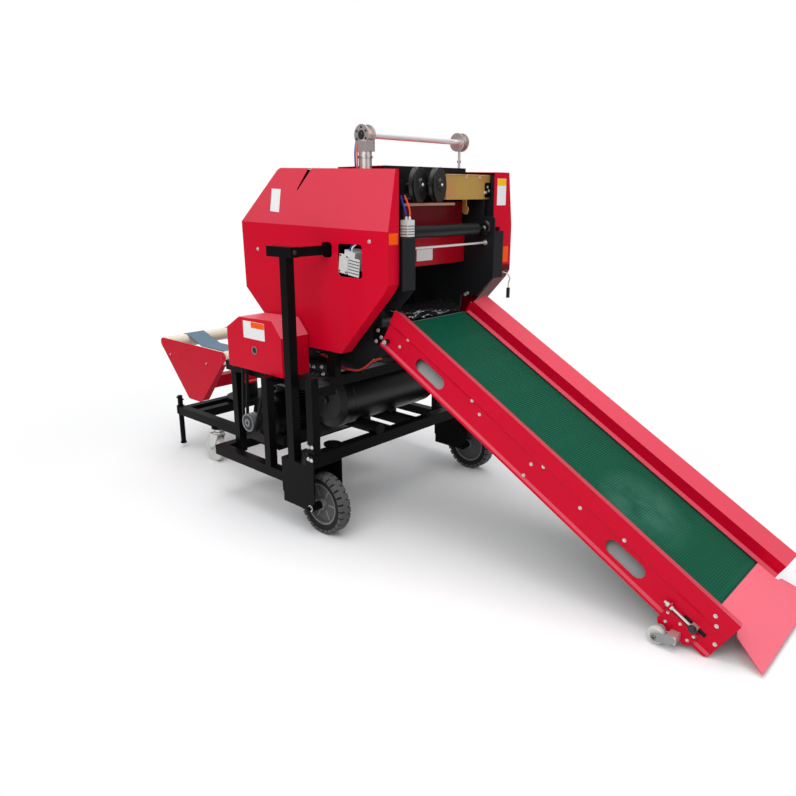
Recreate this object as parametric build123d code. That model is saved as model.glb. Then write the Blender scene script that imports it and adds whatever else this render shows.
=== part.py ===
from build123d import *
import math
import os

# Mobile round baler and wrapper: bale chamber on a wheeled frame, feed conveyor in front, wrapping cradle behind.
# Working frame: X forward along the feed line, Y to the far side, Z up, front axle over X = 0, floor at Z = 0.
# At the end everything is shifted so that the origin is at the bottom centre of the whole machine.

# Sheet, tube and clearance sizes
sheet = 3.0
plate = 6.0
tube = 45.0
post = 38.0
touch = 0.3
clear = 5.0

# Front wheels and their brackets
track_half = 514.0
tyre_radius = 132.0
tyre_width = 58.0
rim_radius = 92.0
hub_radius = 24.0
axle_radius = 10.0
spokes = 6
bore_gap = 0.05
fork_half = 80.0
fork_rear = -175.0
fork_front = 26.0
fork_low = 118.0
fork_top = 318.0
fork_bevel = 42.0

# Base frame
rail_low = 202.0
rail_rear = -690.0
rail_step = 4.0
rail_out = track_half + fork_half - rail_step
front_bar_low = 318.0
front_bar_size = 50.0
top_rail_low = 603.0
top_rail_y = rail_out - 112.0
chamber_beam_x = (-430.0, -110.0)
leg_mid_x = -283.0
leg_rear_x = -656.0
middle_rail_y = 90.0
front_post_x = 3.5
front_post_y = rail_out - 23.0
front_post_top = 690.0
socket_y = -205.0
socket_radius = 27.0
socket_rear = -100.0
socket_front = 34.0
cap_y = -440.0
cap_radius = 38.0

# Push handle on the near side
handle_x = -114.0
handle_y = 16.0 - rail_out
handle_tube = 40.0
handle_top = 1200.0
handle_back = -214.0
handle_front = -62.0
arm_tube = 36.0

# Bale chamber
chamber_x = -185.0
chamber_z = 1090.0
chamber_half = 260.0
split_gap = 8.0
nose_step = 12.0
foot_front = -20.0
ear_throat = 69.0
ear_radius = 40.0
lap = 5.0
hinge_post = 40.0
hinge_ear_radius = 28.0
hinge_pin_radius = 12.0
side_flange_top = 1240.0
side_front = 283.0
side_top = 1295.0
side_nose = 1037.0
roller_radius = 32.0
hinge_x = -185.0
hinge_z = 1428.0
gate_skin_radius = 330.0
gate_skin_top = 1330.0
gate_skin_gap = 60.0
gate_arm_plate = 8.0
gate_arm = ((-20.0, -14.0), (-145.0, -188.0), (-85.0, -228.0), (16.0, -14.0))

# Red side covers, the near one and the far one
cover_half = 392.0
cover_depth = 60.0
cover_lean = 42.0
far_cover_half = 422.0
far_cover_depth = 92.0
far_cover_lean = 32.0
far_flange_y = 283.0
far_flange_low = 1256.0
cover_fold_rear = 1279.0
cover_fold = 1261.0
cover_top_rear = 1505.0
cover_top = 1486.0
cover_top_x = -418.0
cover_rear = -648.0
cover_front = 262.0
cover_bottom = 760.0
cover_bottom_x = (-385.0, -8.0)
cover_knee = (-522.0, 881.0)
cover_shin = (-640.0, 985.0)
cover_chin = (241.0, 1029.0)
cover_nose = 1062.0
cover_corner = 45.0
window_x = (-13.0, 122.0)
window_z = (1078.0, 1208.0)
window_corner = 14.0
arm_hole_z = (1150.0, 1210.0)
arm_hole_gap = 12.0
boss_z = 1058.0
boss_radius = 7.0
boss_reach = 8.0
slit_low = (-286.0, 1414.0)
slit_width = (8.0, 26.0)
slit_lean = 64.0
hood_rear = -144.0
hood_front = 120.0
hood_top = 1504.0
baffle_y = 328.0
baffle_rear = -420.0
baffle_top = 1495.0
bridge_low = 1300.0

# Mouth
feed_roller_x = 232.0
feed_roller_z = 1252.0
feed_roller_radius = 25.0
feed_shaft = 10.0
inner_wall_x = 118.0
inner_wall_top = 1360.0
inner_wall_bottom = 1102.0
inner_wall_split = 1265.0
inner_wall_step = 20.0
inner_wall_far = 212.0
inner_wall_return = 30.0
sill_s = (-118.0, -97.0, -38.0)
sill_n = -92.0
sill_half = 225.0
cross_rod_x = 236.0
cross_rod_z = 1190.0
cross_rod_radius = 5.0
pulley_z = 1431.0
pulley_radius = 67.0
pulley_width = 22.0
pulley_y = (-217.0, -99.0)
pulley_turn = 17.0
pulley_pin = 8.0
pulley_reach = 54.0
pulley_beam_x = 186.0
tray_x = 226.0
tray_near = -9.0
tray_far = 296.0
tray_rear = 150.0
tray_lip = 30.0
tray_low = 1374.0
tray_high = 1475.0
hanger_x = 176.0
hanger_low = 1312.0
hanger_y = (168.0, 174.0)
mouth_cylinder_rear = 246.0
mouth_cylinder_depth = 40.0
mouth_cylinder_z = (1240.0, 1302.0)
side_cylinder_place = (42.0, 1142.0)
side_cylinder_size = (60.0, 76.0, 76.0)
side_cylinder_turn = 12.0
side_cylinder_foot = (20.0, 64.0, 1120.0, 1164.0)

# Feed conveyor, in its own slope: s down the slope, n square to it, from the top outer corner
conveyor_x = 216.0
conveyor_z = 955.0
conveyor_slope = 29.8
conveyor_length = 1621.0
conveyor_half = 303.0
web_height = 177.0
fold_y = 234.0
fold_n = -31.0
wall_n = -75.0
belt_half = 214.0
belt_n = -85.0
belt_thick = 4.0
drum_radius = 30.0
drum_shaft = 9.0
web_step = 6.0
cheek_s = (-14.0, 30.0)
cheek_low = -142.0
cheek_thick = 6.0
head_s = 8.0
tail_s = 1534.0
pivot_s = 26.0
pivot_n = -140.0
pin_radius = 10.0
slot_n = -115.0
slot_height = 56.0
slot_length = 158.0
slot_s = (189.0, 1170.0)
return_roller_radius = 26.0
return_roller_s = (560.0, 940.0)
tail_slot_s = (1492.0, 1575.0)
web_corner = 20.0
conveyor_tie_s = (400.0, 820.0, 1390.0)
lip_start = 1548.0
lip_end = 1752.0
lip_half_top = 210.0
lip_half_end = 292.0
lip_shoulder = 26.0

# Casters under the conveyor and at the rear
caster_radius = 30.0
caster_width = 22.0
conveyor_caster_x = 1384.0
conveyor_caster_y = 332.0
arm_gap = 8.0
arm_length = 30.0
bracket_s = (1440.0, 1562.0)
bracket_n = (-203.0, -133.0)
tension_rod_radius = 4.5
tension_rod_s = 1430.0
tension_lug = 6.0
rear_caster_radius = 75.0
rear_caster_width = 40.0
rear_caster_offset = 40.0
rear_caster_x = -1040.0
rear_caster_y = 340.0

# Air tank, motor and drive
tank_x = -215.0
tank_z = 500.0
tank_radius = 130.0
tank_left = -300.0
tank_right = 330.0
tank_foot = 60.0
tank_chamfer = (14.0, 34.0)
motor_x = -480.0
motor_z = 392.0
motor_radius = 98.0
motor_left = -440.0
motor_right = -150.0
motor_plinth = 70.0
motor_inset = 40.0
motor_base_front = -420.0
motor_pulley_radius = 42.0
belt_pulley_width = 44.0
drive_y = 68.0 - rail_out
upper_pulley_x = -400.0
upper_pulley_z = 760.0
upper_pulley_radius = 95.0
guard_rear = -594.0
guard_front = -208.0
guard_low = 648.0
guard_top = 885.0
guard_out = rail_out - 45.0
guard_in = 398.0
guard_shoulder = (62.0, 95.0, 6.0)
guard_nose = (60.0, 68.0)

# Wrapper
wrap_rail_y = 345.0
cradle_x = -1240.0
wrap_rear = cradle_x - 140.0
cradle_plate_y = 345.0
cradle_half_x = 345.0
cradle_foot_x = 62.0
cradle_top = 620.0
cradle_low = 308.0
cradle_corner = 26.0
cradle_beam = (362.0, 426.0)
cradle_roller_radius = 34.0
cradle_roller_x = 285.0
cradle_roller_z = 586.0
turntable_radius = 120.0
turntable_z = 268.0
turntable_thick = 12.0
turntable_seat = 70.0
jack_radius = 14.0
jack_low = 24.0
jack_top = 305.0
jack_step = 21.0
jack_collar = 8.0

# Lift columns above the chamber
column_x = 53.0
column_y = 297.0
column_foot = 1370.0
column_foot_half = 26.0
column_foot_height = 18.0
near_column_radius = 26.0
far_column_radius = 5.5
head_z = 1616.0
head_radius = 39.0
head_hub = 25.0
head_half = 20.0
head_block = 28.0
cross_tube_radius = 11.5

# Hoses under the near cover and the pull cord at the far cover
hose_diameter = 9.0
hose_y = (-288.0, -302.0)
hose_rear = -240.0
hose_front = 148.0
hose_rear_z = 709.0
hose_front_z = 745.0
gland_length = 18.0
cord_diameter = 5.0
cord_x = 292.0
cord_y = 372.0
plug_radius = 8.0
plug_top = 986.0
plug_length = 45.0

parts = {}


def block(x0, x1, y0, y1, z0, z1):
    """Box between two opposite corners."""
    return Pos((x0 + x1) / 2, (y0 + y1) / 2, (z0 + z1) / 2) * Box(abs(x1 - x0), abs(y1 - y0), abs(z1 - z0))


def rod_y(x, z, radius, y0, y1):
    """Round bar along Y."""
    return Pos(x, (y0 + y1) / 2, z) * Rot(90, 0, 0) * Cylinder(radius, abs(y1 - y0))


def rod_x(y, z, radius, x0, x1):
    """Round bar along X."""
    return Pos((x0 + x1) / 2, y, z) * Rot(0, 90, 0) * Cylinder(radius, abs(x1 - x0))


def rod_z(x, y, radius, z0, z1):
    """Upright round bar."""
    return Pos(x, y, (z0 + z1) / 2) * Cylinder(radius, abs(z1 - z0))


def slab(points, y0, y1, corner=0.0):
    """Flat plate: an outline in X and Z, thick from y0 to y1, with its corners rounded."""
    face = make_face(Polyline(*points, close=True))
    if corner:
        face = fillet(face.vertices(), corner)
    solid = extrude(Plane.XZ * face, -(y1 - y0))
    return Pos(0, y0, 0) * solid


def mirror_y(shape):
    """The same piece on the other side of the centre plane."""
    return mirror(shape, Plane.XZ)


def bent(path, thickness, y_offset=0.0):
    """Section of a bent sheet: a path of corner points thickened to its left side."""
    left = []
    for i, (px, py) in enumerate(path):
        dirs = []
        if i > 0:
            dirs.append((px - path[i - 1][0], py - path[i - 1][1]))
        if i < len(path) - 1:
            dirs.append((path[i + 1][0] - px, path[i + 1][1] - py))
        normals = [(-dy / math.hypot(dx, dy), dx / math.hypot(dx, dy)) for dx, dy in dirs]
        nx = sum(n[0] for n in normals) / len(normals)
        ny = sum(n[1] for n in normals) / len(normals)
        scale = thickness / (nx * nx + ny * ny)
        left.append((px + nx * scale, py + ny * scale))
    return make_face(Polyline(*path, *reversed(left), close=True))


def ring_y(x, z, outer, inner, y0, y1):
    """Round ring with its axis along Y."""
    return rod_y(x, z, outer, y0, y1) - rod_y(x, z, inner, y0 - 1, y1 + 1)


def join(pieces):
    """One shape from several pieces, touching or not."""
    pieces = list(pieces)
    whole = pieces[0]
    for piece in pieces[1:]:
        whole = whole + piece
    return whole


# Base frame
def build_frame():
    rail_in = rail_out - tube
    rail_top = rail_low + tube
    bar_rear = fork_front - front_bar_size
    bar_top = front_bar_low + front_bar_size
    top_in = top_rail_y - tube / 2
    top_out = top_rail_y + tube / 2
    floor_rails = []
    rear_legs = []
    upper = []
    front_posts = []
    for sign in (-1, 1):
        base = block(rail_rear, fork_rear - plate, sign * rail_out, sign * rail_in, rail_low, rail_top)
        leg = block(leg_mid_x - post / 2, leg_mid_x + post / 2, sign * rail_out, sign * (rail_out - post),
                    rail_top, top_rail_low + tube)
        outrigger = block(leg_mid_x - post / 2, leg_mid_x + post / 2, sign * (rail_out - post),
                          sign * (top_out + touch), top_rail_low + tube - post, top_rail_low + tube)
        y = sign * middle_rail_y
        rail = block(rail_rear, bar_rear, y - tube / 2, y + tube / 2, front_bar_low, front_bar_low + tube)
        stub = block(rail_rear, rail_rear + tube, y - tube / 2, y + tube / 2, rail_top, front_bar_low)
        floor_rails += [base + leg + outrigger, rail + stub]
        rear_legs.append(block(leg_rear_x, leg_rear_x + post, sign * (top_rail_y + post / 2),
                               sign * (top_rail_y - post / 2), rail_low, top_rail_low))
        upper.append(block(rail_rear, front_post_x + post / 2, sign * top_out, sign * top_in, top_rail_low,
                           top_rail_low + tube))
        upright = block(front_post_x - post / 2, front_post_x + post / 2, sign * (front_post_y - post / 2),
                        sign * (front_post_y + post / 2), bar_top, front_post_top)
        tie = block(front_post_x - post / 2, front_post_x + post / 2, sign * (front_post_y - post / 2),
                    sign * (top_out + touch), top_rail_low + tube - post, top_rail_low + tube)
        front_posts.append(upright + tie)
    for x in chamber_beam_x:
        upper.append(block(x, x + tube, -top_in, top_in, top_rail_low, top_rail_low + tube))
        for sign in (-1, 1):
            upper.append(block(x, x + tube, sign * (cover_half - 50), sign * (cover_half - 16), top_rail_low + tube,
                               cover_bottom))
    socket = rod_x(socket_y, bar_top + socket_radius - 1, socket_radius, socket_rear, socket_front)
    cap = rod_z(bar_rear, cap_y, cap_radius, bar_top, bar_top + 8)
    front_posts += [socket, cap]
    parts["floor_rails"] = join(floor_rails)
    rear_bar = block(rail_rear, rail_rear + tube, -rail_in, rail_in, rail_low, rail_top)
    parts["rear_frame"] = join([rear_bar] + rear_legs)
    parts["upper_frame"] = join(upper)
    parts["front_frame"] = join([block(bar_rear, fork_front, -track_half - fork_half, track_half + fork_half,
                                       front_bar_low, bar_top)] + front_posts)


def build_fork(side, sign):
    """Wheel bracket: two side plates, a rear plate and a top plate, with the axle bolt through them."""
    out = track_half + fork_half
    inn = track_half - fork_half
    bevel = fork_bevel
    outline = [(fork_rear, fork_low), (fork_front - bevel, fork_low), (fork_front, fork_low + bevel),
               (fork_front, fork_top), (fork_rear, fork_top)]
    outer = slab(outline, out - plate, out)
    inner = slab(outline, inn, inn + plate)
    top = block(fork_rear, fork_front, inn, out, fork_top - plate, fork_top)
    back = block(fork_rear - plate, fork_rear, inn, out, rail_low - 40, fork_top)
    axle = rod_y(0, tyre_radius, axle_radius, inn - 8, out + 8)
    spacer_out = ring_y(0, tyre_radius, hub_radius - 6, axle_radius, track_half + tyre_width / 2 + touch, out - plate)
    spacer_in = ring_y(0, tyre_radius, hub_radius - 6, axle_radius, inn + plate, track_half - tyre_width / 2 - touch)
    fork = outer + inner + top + back + axle + spacer_out + spacer_in
    return fork if sign > 0 else mirror_y(fork)


def build_wheel(sign):
    """Tyre with a rounded crown and a spoked rim, both round the wheel's own axis."""
    half = tyre_width / 2
    y = sign * track_half
    crown = 12.0
    profile = make_face(Polyline((rim_radius, -half + 4), (tyre_radius - crown, -half), (tyre_radius, -half + crown),
                                 (tyre_radius, half - crown), (tyre_radius - crown, half), (rim_radius, half - 4),
                                 close=True))
    tyre = Pos(0, y, tyre_radius) * Rot(90, 0, 0) * revolve(Plane.XZ * profile, Axis.Z)
    band = ring_y(0, tyre_radius, rim_radius, rim_radius - 8, y - half + 6, y + half - 6)
    web = rod_y(0, tyre_radius, rim_radius - 8, y - 5, y + 5)
    hub = rod_y(0, tyre_radius, hub_radius, y - half, y + half)
    rim = band + web + hub
    low = hub_radius + 12
    high = rim_radius - 18
    for k in range(spokes):
        window = slab([(low, -9), (low, 9), (high, 20), (high, -20)], y - half, y + half)
        rim = rim - Pos(0, 0, tyre_radius) * Rot(0, 360 / spokes * k, 0) * window
    rim = rim - rod_y(0, tyre_radius, axle_radius + bore_gap, y - half - 1, y + half + 1)
    return tyre, rim


def build_wheels():
    for side, sign in (("left", -1), ("right", 1)):
        parts["wheel_bracket_" + side] = build_fork(side, sign)
        tyre, rim = build_wheel(sign)
        parts["front_tyre_" + side] = tyre
        parts["front_rim_" + side] = rim


def build_handle():
    """T handle on the near side: post on the wheel bracket, grip bar along X, tie arm to the chamber wall."""
    half = handle_tube / 2
    near = handle_y - half
    far = handle_y + half
    upright = block(handle_x - half, handle_x + half, near, far, fork_top, handle_top - handle_tube)
    grip = block(handle_back, handle_front, near, far, handle_top - handle_tube, handle_top)
    arm_low = handle_top - (handle_tube + arm_tube) / 2
    arm = block(handle_front - arm_tube, handle_front, far, -chamber_half - plate, arm_low, arm_low + arm_tube)
    parts["push_handle"] = upright + grip + arm


# Chamber
slope_cos = math.cos(math.radians(conveyor_slope))
slope_sin = math.sin(math.radians(conveyor_slope))
pivot_x = conveyor_x + pivot_s * slope_cos + pivot_n * slope_sin
pivot_z = conveyor_z - pivot_s * slope_sin + pivot_n * slope_cos
side_base = top_rail_low + tube
lug_x = (150.0, tray_x - sheet - touch)
lug_top = 1452.0
wall_top = 1400.0
wall_shoulder = 1304.0
fold_wall_n = fold_n * (conveyor_half - chamber_half - plate) / (conveyor_half - fold_y)
wall_low = pivot_z + math.hypot(pivot_s, fold_wall_n - pivot_n) + clear
boot_rear = -450.0
boot_top = 745.0
front_rollers = (85, 60, 35, 10, -58, -84)
gate_rollers = (106, 132, 158, 184, 210, 236, 260)
roller_circle = 258.0


def chamber_side():
    """Fixed side wall of the chamber, far side: front half of the drum, conveyor ear, hinge ear and rear foot."""
    y0 = chamber_half
    y1 = chamber_half + plate
    front_split = chamber_x + split_gap / 2
    throat_x = pivot_x - ear_throat
    outline = [(boot_rear, side_base), (boot_rear, boot_top), (front_split, boot_top),
               (front_split, wall_top), (lug_x[0], wall_top), (lug_x[0], lug_top), (lug_x[1], lug_top),
               (lug_x[1], wall_shoulder), (side_front - nose_step, wall_shoulder), (side_front, side_top),
               (side_front, side_nose), (pivot_x + 30, wall_low), (throat_x + 10, wall_low),
               (throat_x, pivot_z + ear_radius), (pivot_x, pivot_z + ear_radius), (pivot_x, pivot_z - ear_radius),
               (throat_x, pivot_z - ear_radius), (foot_front, side_base)]
    wall = slab(outline, y0, y1)
    wall = wall + rod_y(pivot_x, pivot_z, ear_radius, y0, y1)
    wall = wall + rod_y(hinge_x, hinge_z, hinge_ear_radius, y0, y1)
    wall = wall + block(front_split, front_split + hinge_post, y0, y1, wall_top - lap, hinge_z)
    wall = wall - rod_y(feed_roller_x, feed_roller_z, feed_shaft + bore_gap, y0 - 1, y1 + 1)
    flange = block(side_front - plate, side_front, y1, cover_half - cover_depth - touch, side_nose, side_flange_top)
    stub = rod_y(hinge_x, hinge_z, hinge_pin_radius, y1, y1 + 2 * gate_arm_plate)
    pin = rod_y(pivot_x, pivot_z, pin_radius, y1, conveyor_half + 14)
    boss = rod_y(pivot_x, pivot_z, pin_radius + 4, y1, conveyor_half - sheet - web_step - 0.5)
    return wall + flange + stub + pin + boss


def pulley_place(y, reach):
    """Place on the axis of the guide pulley whose pin stands at y on the beam, local Z along the pin."""
    return Pos(pulley_beam_x + 6, y, pulley_z) * Rot(0, 0, pulley_turn) * Pos(reach, 0, 0) * Rot(0, 90, 0)


def gland(x0, x1, y, z):
    """Block on the near wall in which a hose ends."""
    return block(x0, x1, y - hose_diameter, -chamber_half - plate + 1, z - hose_diameter, z + hose_diameter)


def near_wall():
    """Near side wall with what it carries: pulley beam, dark baffle behind the cover's slit and the hose glands."""
    wall = mirror_y(chamber_side())
    beam = block(pulley_beam_x, pulley_beam_x + 12, -chamber_half - plate, pulley_y[1] + 20, wall_top, lug_top)
    pins = [pulley_place(y, pulley_reach / 2) * Cylinder(pulley_pin, pulley_reach + pulley_width + 8)
            for y in pulley_y]
    side = hood_rear + sheet
    bridge = block(side - sheet, side, -baffle_y, -chamber_half - plate, bridge_low, baffle_top)
    baffle = block(baffle_rear, side, -baffle_y, sheet - baffle_y, wall_top - lap, baffle_top)
    gland_front = hose_front + gland_length
    tab_low = hose_front_z - 1.5 * hose_diameter
    tab = block(hose_front, gland_front, -chamber_half - plate, -chamber_half, tab_low, pivot_z - ear_radius + 2 * lap)
    glands = [gland(hose_front, gland_front, hose_y[1], hose_front_z),
              gland(hose_rear - gland_length, hose_rear, hose_y[1], hose_rear_z)]
    return join([wall, beam] + pins + [bridge, baffle, tab] + glands)


def roller_set(angles):
    """Steel rollers round the chamber, reaching from wall to wall, at these angles on the roller circle."""
    reach = chamber_half - touch
    rollers = []
    for angle in angles:
        a = math.radians(angle)
        x = chamber_x + roller_circle * math.cos(a)
        z = chamber_z + roller_circle * math.sin(a)
        rollers.append(rod_y(x, z, roller_radius, -reach, reach))
    return join(rollers)


def build_chamber():
    parts["chamber_wall_left"] = near_wall()
    parts["chamber_wall_right"] = chamber_side()
    parts["chamber_rollers"] = roller_set(front_rollers)
    y = chamber_half - touch
    roof = block(hood_rear, hood_front, -y, y, wall_top - 6, wall_top - sheet)
    hood = block(hood_rear, hood_front, -y, y, hood_top - sheet, hood_top) + \
        block(hood_rear, hood_rear + sheet, -y, y, wall_top - sheet, hood_top) + \
        block(hood_front - sheet, hood_front, -y, y, wall_top - sheet, hood_top)
    roof = roof + hood
    x0 = inner_wall_x - inner_wall_return
    x1 = inner_wall_x + inner_wall_step
    upper = block(x1, x1 + sheet, -y, inner_wall_far, inner_wall_split + sheet, inner_wall_top) + \
        block(x0, x1 + sheet, -y, y, inner_wall_top, inner_wall_top + sheet)
    lower = block(inner_wall_x, inner_wall_x + sheet, -y, y, inner_wall_bottom, inner_wall_split - sheet) + \
        block(x0, inner_wall_x, -y, y, inner_wall_bottom, inner_wall_bottom + sheet)
    sill = block(sill_s[0], sill_s[1], -y, y, sill_n, sill_n + sheet) + \
        block(sill_s[1], sill_s[2], -sill_half, sill_half, sill_n, sill_n + sheet)
    parts["inner_panels"] = join([roof, upper, lower, on_slope(sill)])


def build_gate():
    """Tailgate: two half round walls with hinge arms, rollers between them and a curved skin round the back."""
    y0 = chamber_half
    y1 = chamber_half + plate
    rear_split = chamber_x - split_gap / 2
    reach = 2 * gate_skin_radius
    low = chamber_z - reach
    high = chamber_z + reach
    y2 = y1 + gate_arm_plate
    wall_radius = gate_skin_radius - gate_arm_plate
    half = rod_y(chamber_x, chamber_z, wall_radius, y0, y1)
    half = half - block(rear_split, rear_split + reach, y0 - 1, y1 + 1, low, high)
    arm = slab([(hinge_x + x, hinge_z + z) for x, z in gate_arm], y1, y2) + \
        rod_y(hinge_x, hinge_z, hinge_ear_radius - 2, y1, y2)
    wall = half - rod_y(hinge_x, hinge_z, hinge_ear_radius + 8, y0 - 1, y1 + 1)
    wall = wall + (arm - rod_y(hinge_x, hinge_z, hinge_pin_radius + bore_gap, y1 - 1, y2 + 1))
    parts["gate_rollers"] = roller_set(gate_rollers)
    skin = ring_y(chamber_x, chamber_z, wall_radius, wall_radius - sheet, -y0, y0)
    skin = skin - block(rear_split - gate_skin_gap, rear_split + reach, -y1 - 1, y1 + 1, low, high)
    skin = skin - block(chamber_x - reach, chamber_x + reach, -y1 - 1, y1 + 1, gate_skin_top, high)
    parts["gate_shell"] = wall + mirror_y(wall) + skin


# Red covers
def cover_face():
    """Outline of a cover in X and Z, its rear top corner rounded."""
    outline = [(cover_rear, cover_fold_rear), cover_shin, cover_knee, (cover_bottom_x[0], cover_bottom),
               (cover_bottom_x[1], cover_bottom), cover_chin, (cover_front, cover_nose), (cover_front, cover_top),
               (cover_top_x, cover_top_rear)]
    face = make_face(Polyline(*outline, close=True))
    top = face.vertices().sort_by(Axis.Y)[-1]
    return fillet(top, cover_corner)


def pan(half, depth, lean):
    """Cover pressed as a shallow pan, far side: face outside, return edge all round, upper part leaning in."""
    inner_y = half - depth
    outer_face = cover_face()
    inner_face = offset(outer_face, amount=-sheet)
    outer = Pos(0, inner_y, 0) * extrude(Plane.XZ * outer_face, -depth)
    inner = Pos(0, inner_y - 1, 0) * extrude(Plane.XZ * inner_face, -(depth - sheet + 1))
    return (outer - lean_cut(half, lean)) - (inner - lean_cut(half - sheet, lean))


def lean_cut(y, lean):
    """Wedge outside a face that stands at y up to the fold line and leans in above it; the fold drops to the front."""
    rise = cover_top_rear - cover_fold_rear + 20
    reach = lean * rise / (cover_top_rear - cover_fold_rear)
    wedge = make_face(Polyline((y + 1, 0), (y, 0), (y - reach, rise), (y + 1, rise), close=True))
    tilt = math.degrees(math.atan2(cover_fold_rear - cover_fold, cover_front - cover_rear))
    long = extrude(Plane.YZ * wedge, cover_front - cover_rear + 40)
    return Pos(cover_rear, 0, cover_fold_rear) * Rot(0, tilt, 0) * Pos(-20, 0, 0) * long


def build_covers():
    left = mirror_y(pan(cover_half, cover_depth, cover_lean))
    cut = (-cover_half - lap, -cover_half + 2 * lap)
    arm_hole_x = (handle_front - arm_tube - arm_hole_gap, handle_front + arm_hole_gap)
    window, hole = [slab([(x[0], z[0]), (x[1], z[0]), (x[1], z[1]), (x[0], z[1])], cut[0], cut[1], window_corner)
                    for x, z in ((window_x, window_z), (arm_hole_x, arm_hole_z))]
    x, z = slit_low
    rise = cover_top_rear + 10 - z
    shift_x = slit_lean * rise / (cover_top_rear - z)
    slit = slab([(x, z), (x + slit_width[0], z), (x + slit_width[1] + shift_x, z + rise), (x + shift_x, z + rise)],
                cut[0], -cover_half + cover_depth + lap)
    parts["cover_left"] = left - window - hole - slit
    far_in = far_cover_half - far_cover_depth
    flange = block(cover_front - sheet, cover_front, far_flange_y, far_in + 1, far_flange_low, cover_top)
    boss = rod_x(far_in + 12, boss_z, boss_radius, cover_front - 1, cover_front + boss_reach)
    parts["cover_right"] = pan(far_cover_half, far_cover_depth, far_cover_lean) + flange + boss


def build_mouth():
    reach = chamber_half - touch
    parts["feed_roller"] = rod_y(feed_roller_x, feed_roller_z, feed_roller_radius, -reach + 4, reach - 4) + \
        rod_y(feed_roller_x, feed_roller_z, feed_shaft, -chamber_half - plate - 12, chamber_half + plate + 12)
    for side, y in zip(("near", "far"), pulley_y):
        half = pulley_width / 2
        profile = make_face(Polyline((pulley_pin + bore_gap, -half), (pulley_radius, -half), (pulley_radius - 7, 0),
                                     (pulley_radius, half), (26, half), (20, half + 8), (pulley_pin + bore_gap, half + 8),
                                     close=True))
        wheel = revolve(Plane.XZ * profile, Axis.Z)
        parts["guide_pulley_" + side] = pulley_place(y, pulley_reach) * wheel
    tray = block(tray_rear, tray_x, tray_near, reach, tray_low, tray_low + sheet) + \
        block(tray_x - sheet, tray_x, tray_near, tray_far, tray_low, tray_high) + \
        block(tray_rear, tray_rear + sheet, tray_near, reach, tray_low, tray_low + tray_lip)
    hanger = slab([(hanger_x, tray_low + 1), (hanger_x, hanger_low + 10), (hanger_x + 10, hanger_low),
                   (hanger_x + 24, hanger_low), (hanger_x + 30, hanger_low + 14), (hanger_x + 30, hanger_low + 28),
                   (hanger_x + 20, hanger_low + 34), (hanger_x + 20, tray_low + 1)], hanger_y[0], hanger_y[1])
    parts["net_tray"] = tray + hanger
    wall_out = -chamber_half - plate
    mouth_cylinder = block(mouth_cylinder_rear, side_front, wall_out - mouth_cylinder_depth, wall_out - touch,
                           mouth_cylinder_z[0], mouth_cylinder_z[1])
    body_y = 2 * sheet - cover_half + side_cylinder_size[1] / 2
    body = Pos(side_cylinder_place[0], body_y, side_cylinder_place[1]) * Rot(0, side_cylinder_turn, 0) * \
        Box(*side_cylinder_size)
    x0, x1, z0, z1 = side_cylinder_foot
    side_cylinder = body + block(x0, x1, body_y + side_cylinder_size[1] / 2 - 2, wall_out - touch, z0, z1)
    parts["compact_cylinders"] = mouth_cylinder + side_cylinder


def build_columns():
    """Lift cylinders above the chamber: a thick barrel near, a thin rod far, disc heads joined by a cross tube."""
    columns = []
    for sign, radius in ((-1, near_column_radius), (1, far_column_radius)):
        y = sign * column_y
        foot = block(column_x - column_foot_half, column_x + column_foot_half, sign * (chamber_half + plate + touch),
                     sign * (column_y + column_foot_half - 2), column_foot, column_foot + column_foot_height)
        barrel = rod_z(column_x, y, radius, column_foot + column_foot_height, head_z - head_radius / 2)
        head = rod_y(column_x, head_z, head_hub, y - head_half, y + head_half)
        for disc_y in (y - head_half, y + head_half - plate):
            head = head + rod_y(column_x, head_z, head_radius, disc_y, disc_y + plate)
        if sign < 0:
            head = head + block(column_x - head_block, column_x + head_block, y - head_block + 2, y + head_block - 2,
                                head_z - head_radius - head_half - 2, head_z - head_half - 2)
        columns.append(foot + barrel + head)
    parts["lift_columns"] = join(columns)
    reach = column_y - head_half - touch
    parts["steel_rods"] = rod_y(column_x, head_z, cross_tube_radius, -reach, reach) + \
        rod_y(cross_rod_x, cross_rod_z, cross_rod_radius, -chamber_half + touch, chamber_half - touch)


def drive_belts():
    """Two drive belts as flat loops from the motor pulley up into the guard."""
    dx = upper_pulley_x - motor_x
    dz = upper_pulley_z - motor_z
    length = math.hypot(dx, dz)
    angle = math.degrees(math.atan2(dz, dx))
    lower = motor_pulley_radius + touch
    upper = upper_pulley_radius
    lean = math.asin((upper - lower) / length)

    def outline(extra):
        r0 = lower + extra
        r1 = upper + extra
        c, n = math.cos(lean), math.sin(lean)
        quad = make_face(Polyline((-r0 * n, r0 * c), (length - r1 * n, r1 * c), (length - r1 * n, -r1 * c),
                                  (-r0 * n, -r0 * c), close=True))
        return quad + Circle(r0) + Pos(length, 0) * Circle(r1)

    loop = outline(9.0) - outline(0.0)
    belts = []
    for y in (-11.0, 11.0):
        flat = Plane.XZ * Rot(0, 0, angle) * loop
        belts.append(Pos(motor_x, drive_y + y + 6, motor_z) * extrude(flat, 12))
    return join(belts)


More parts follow.
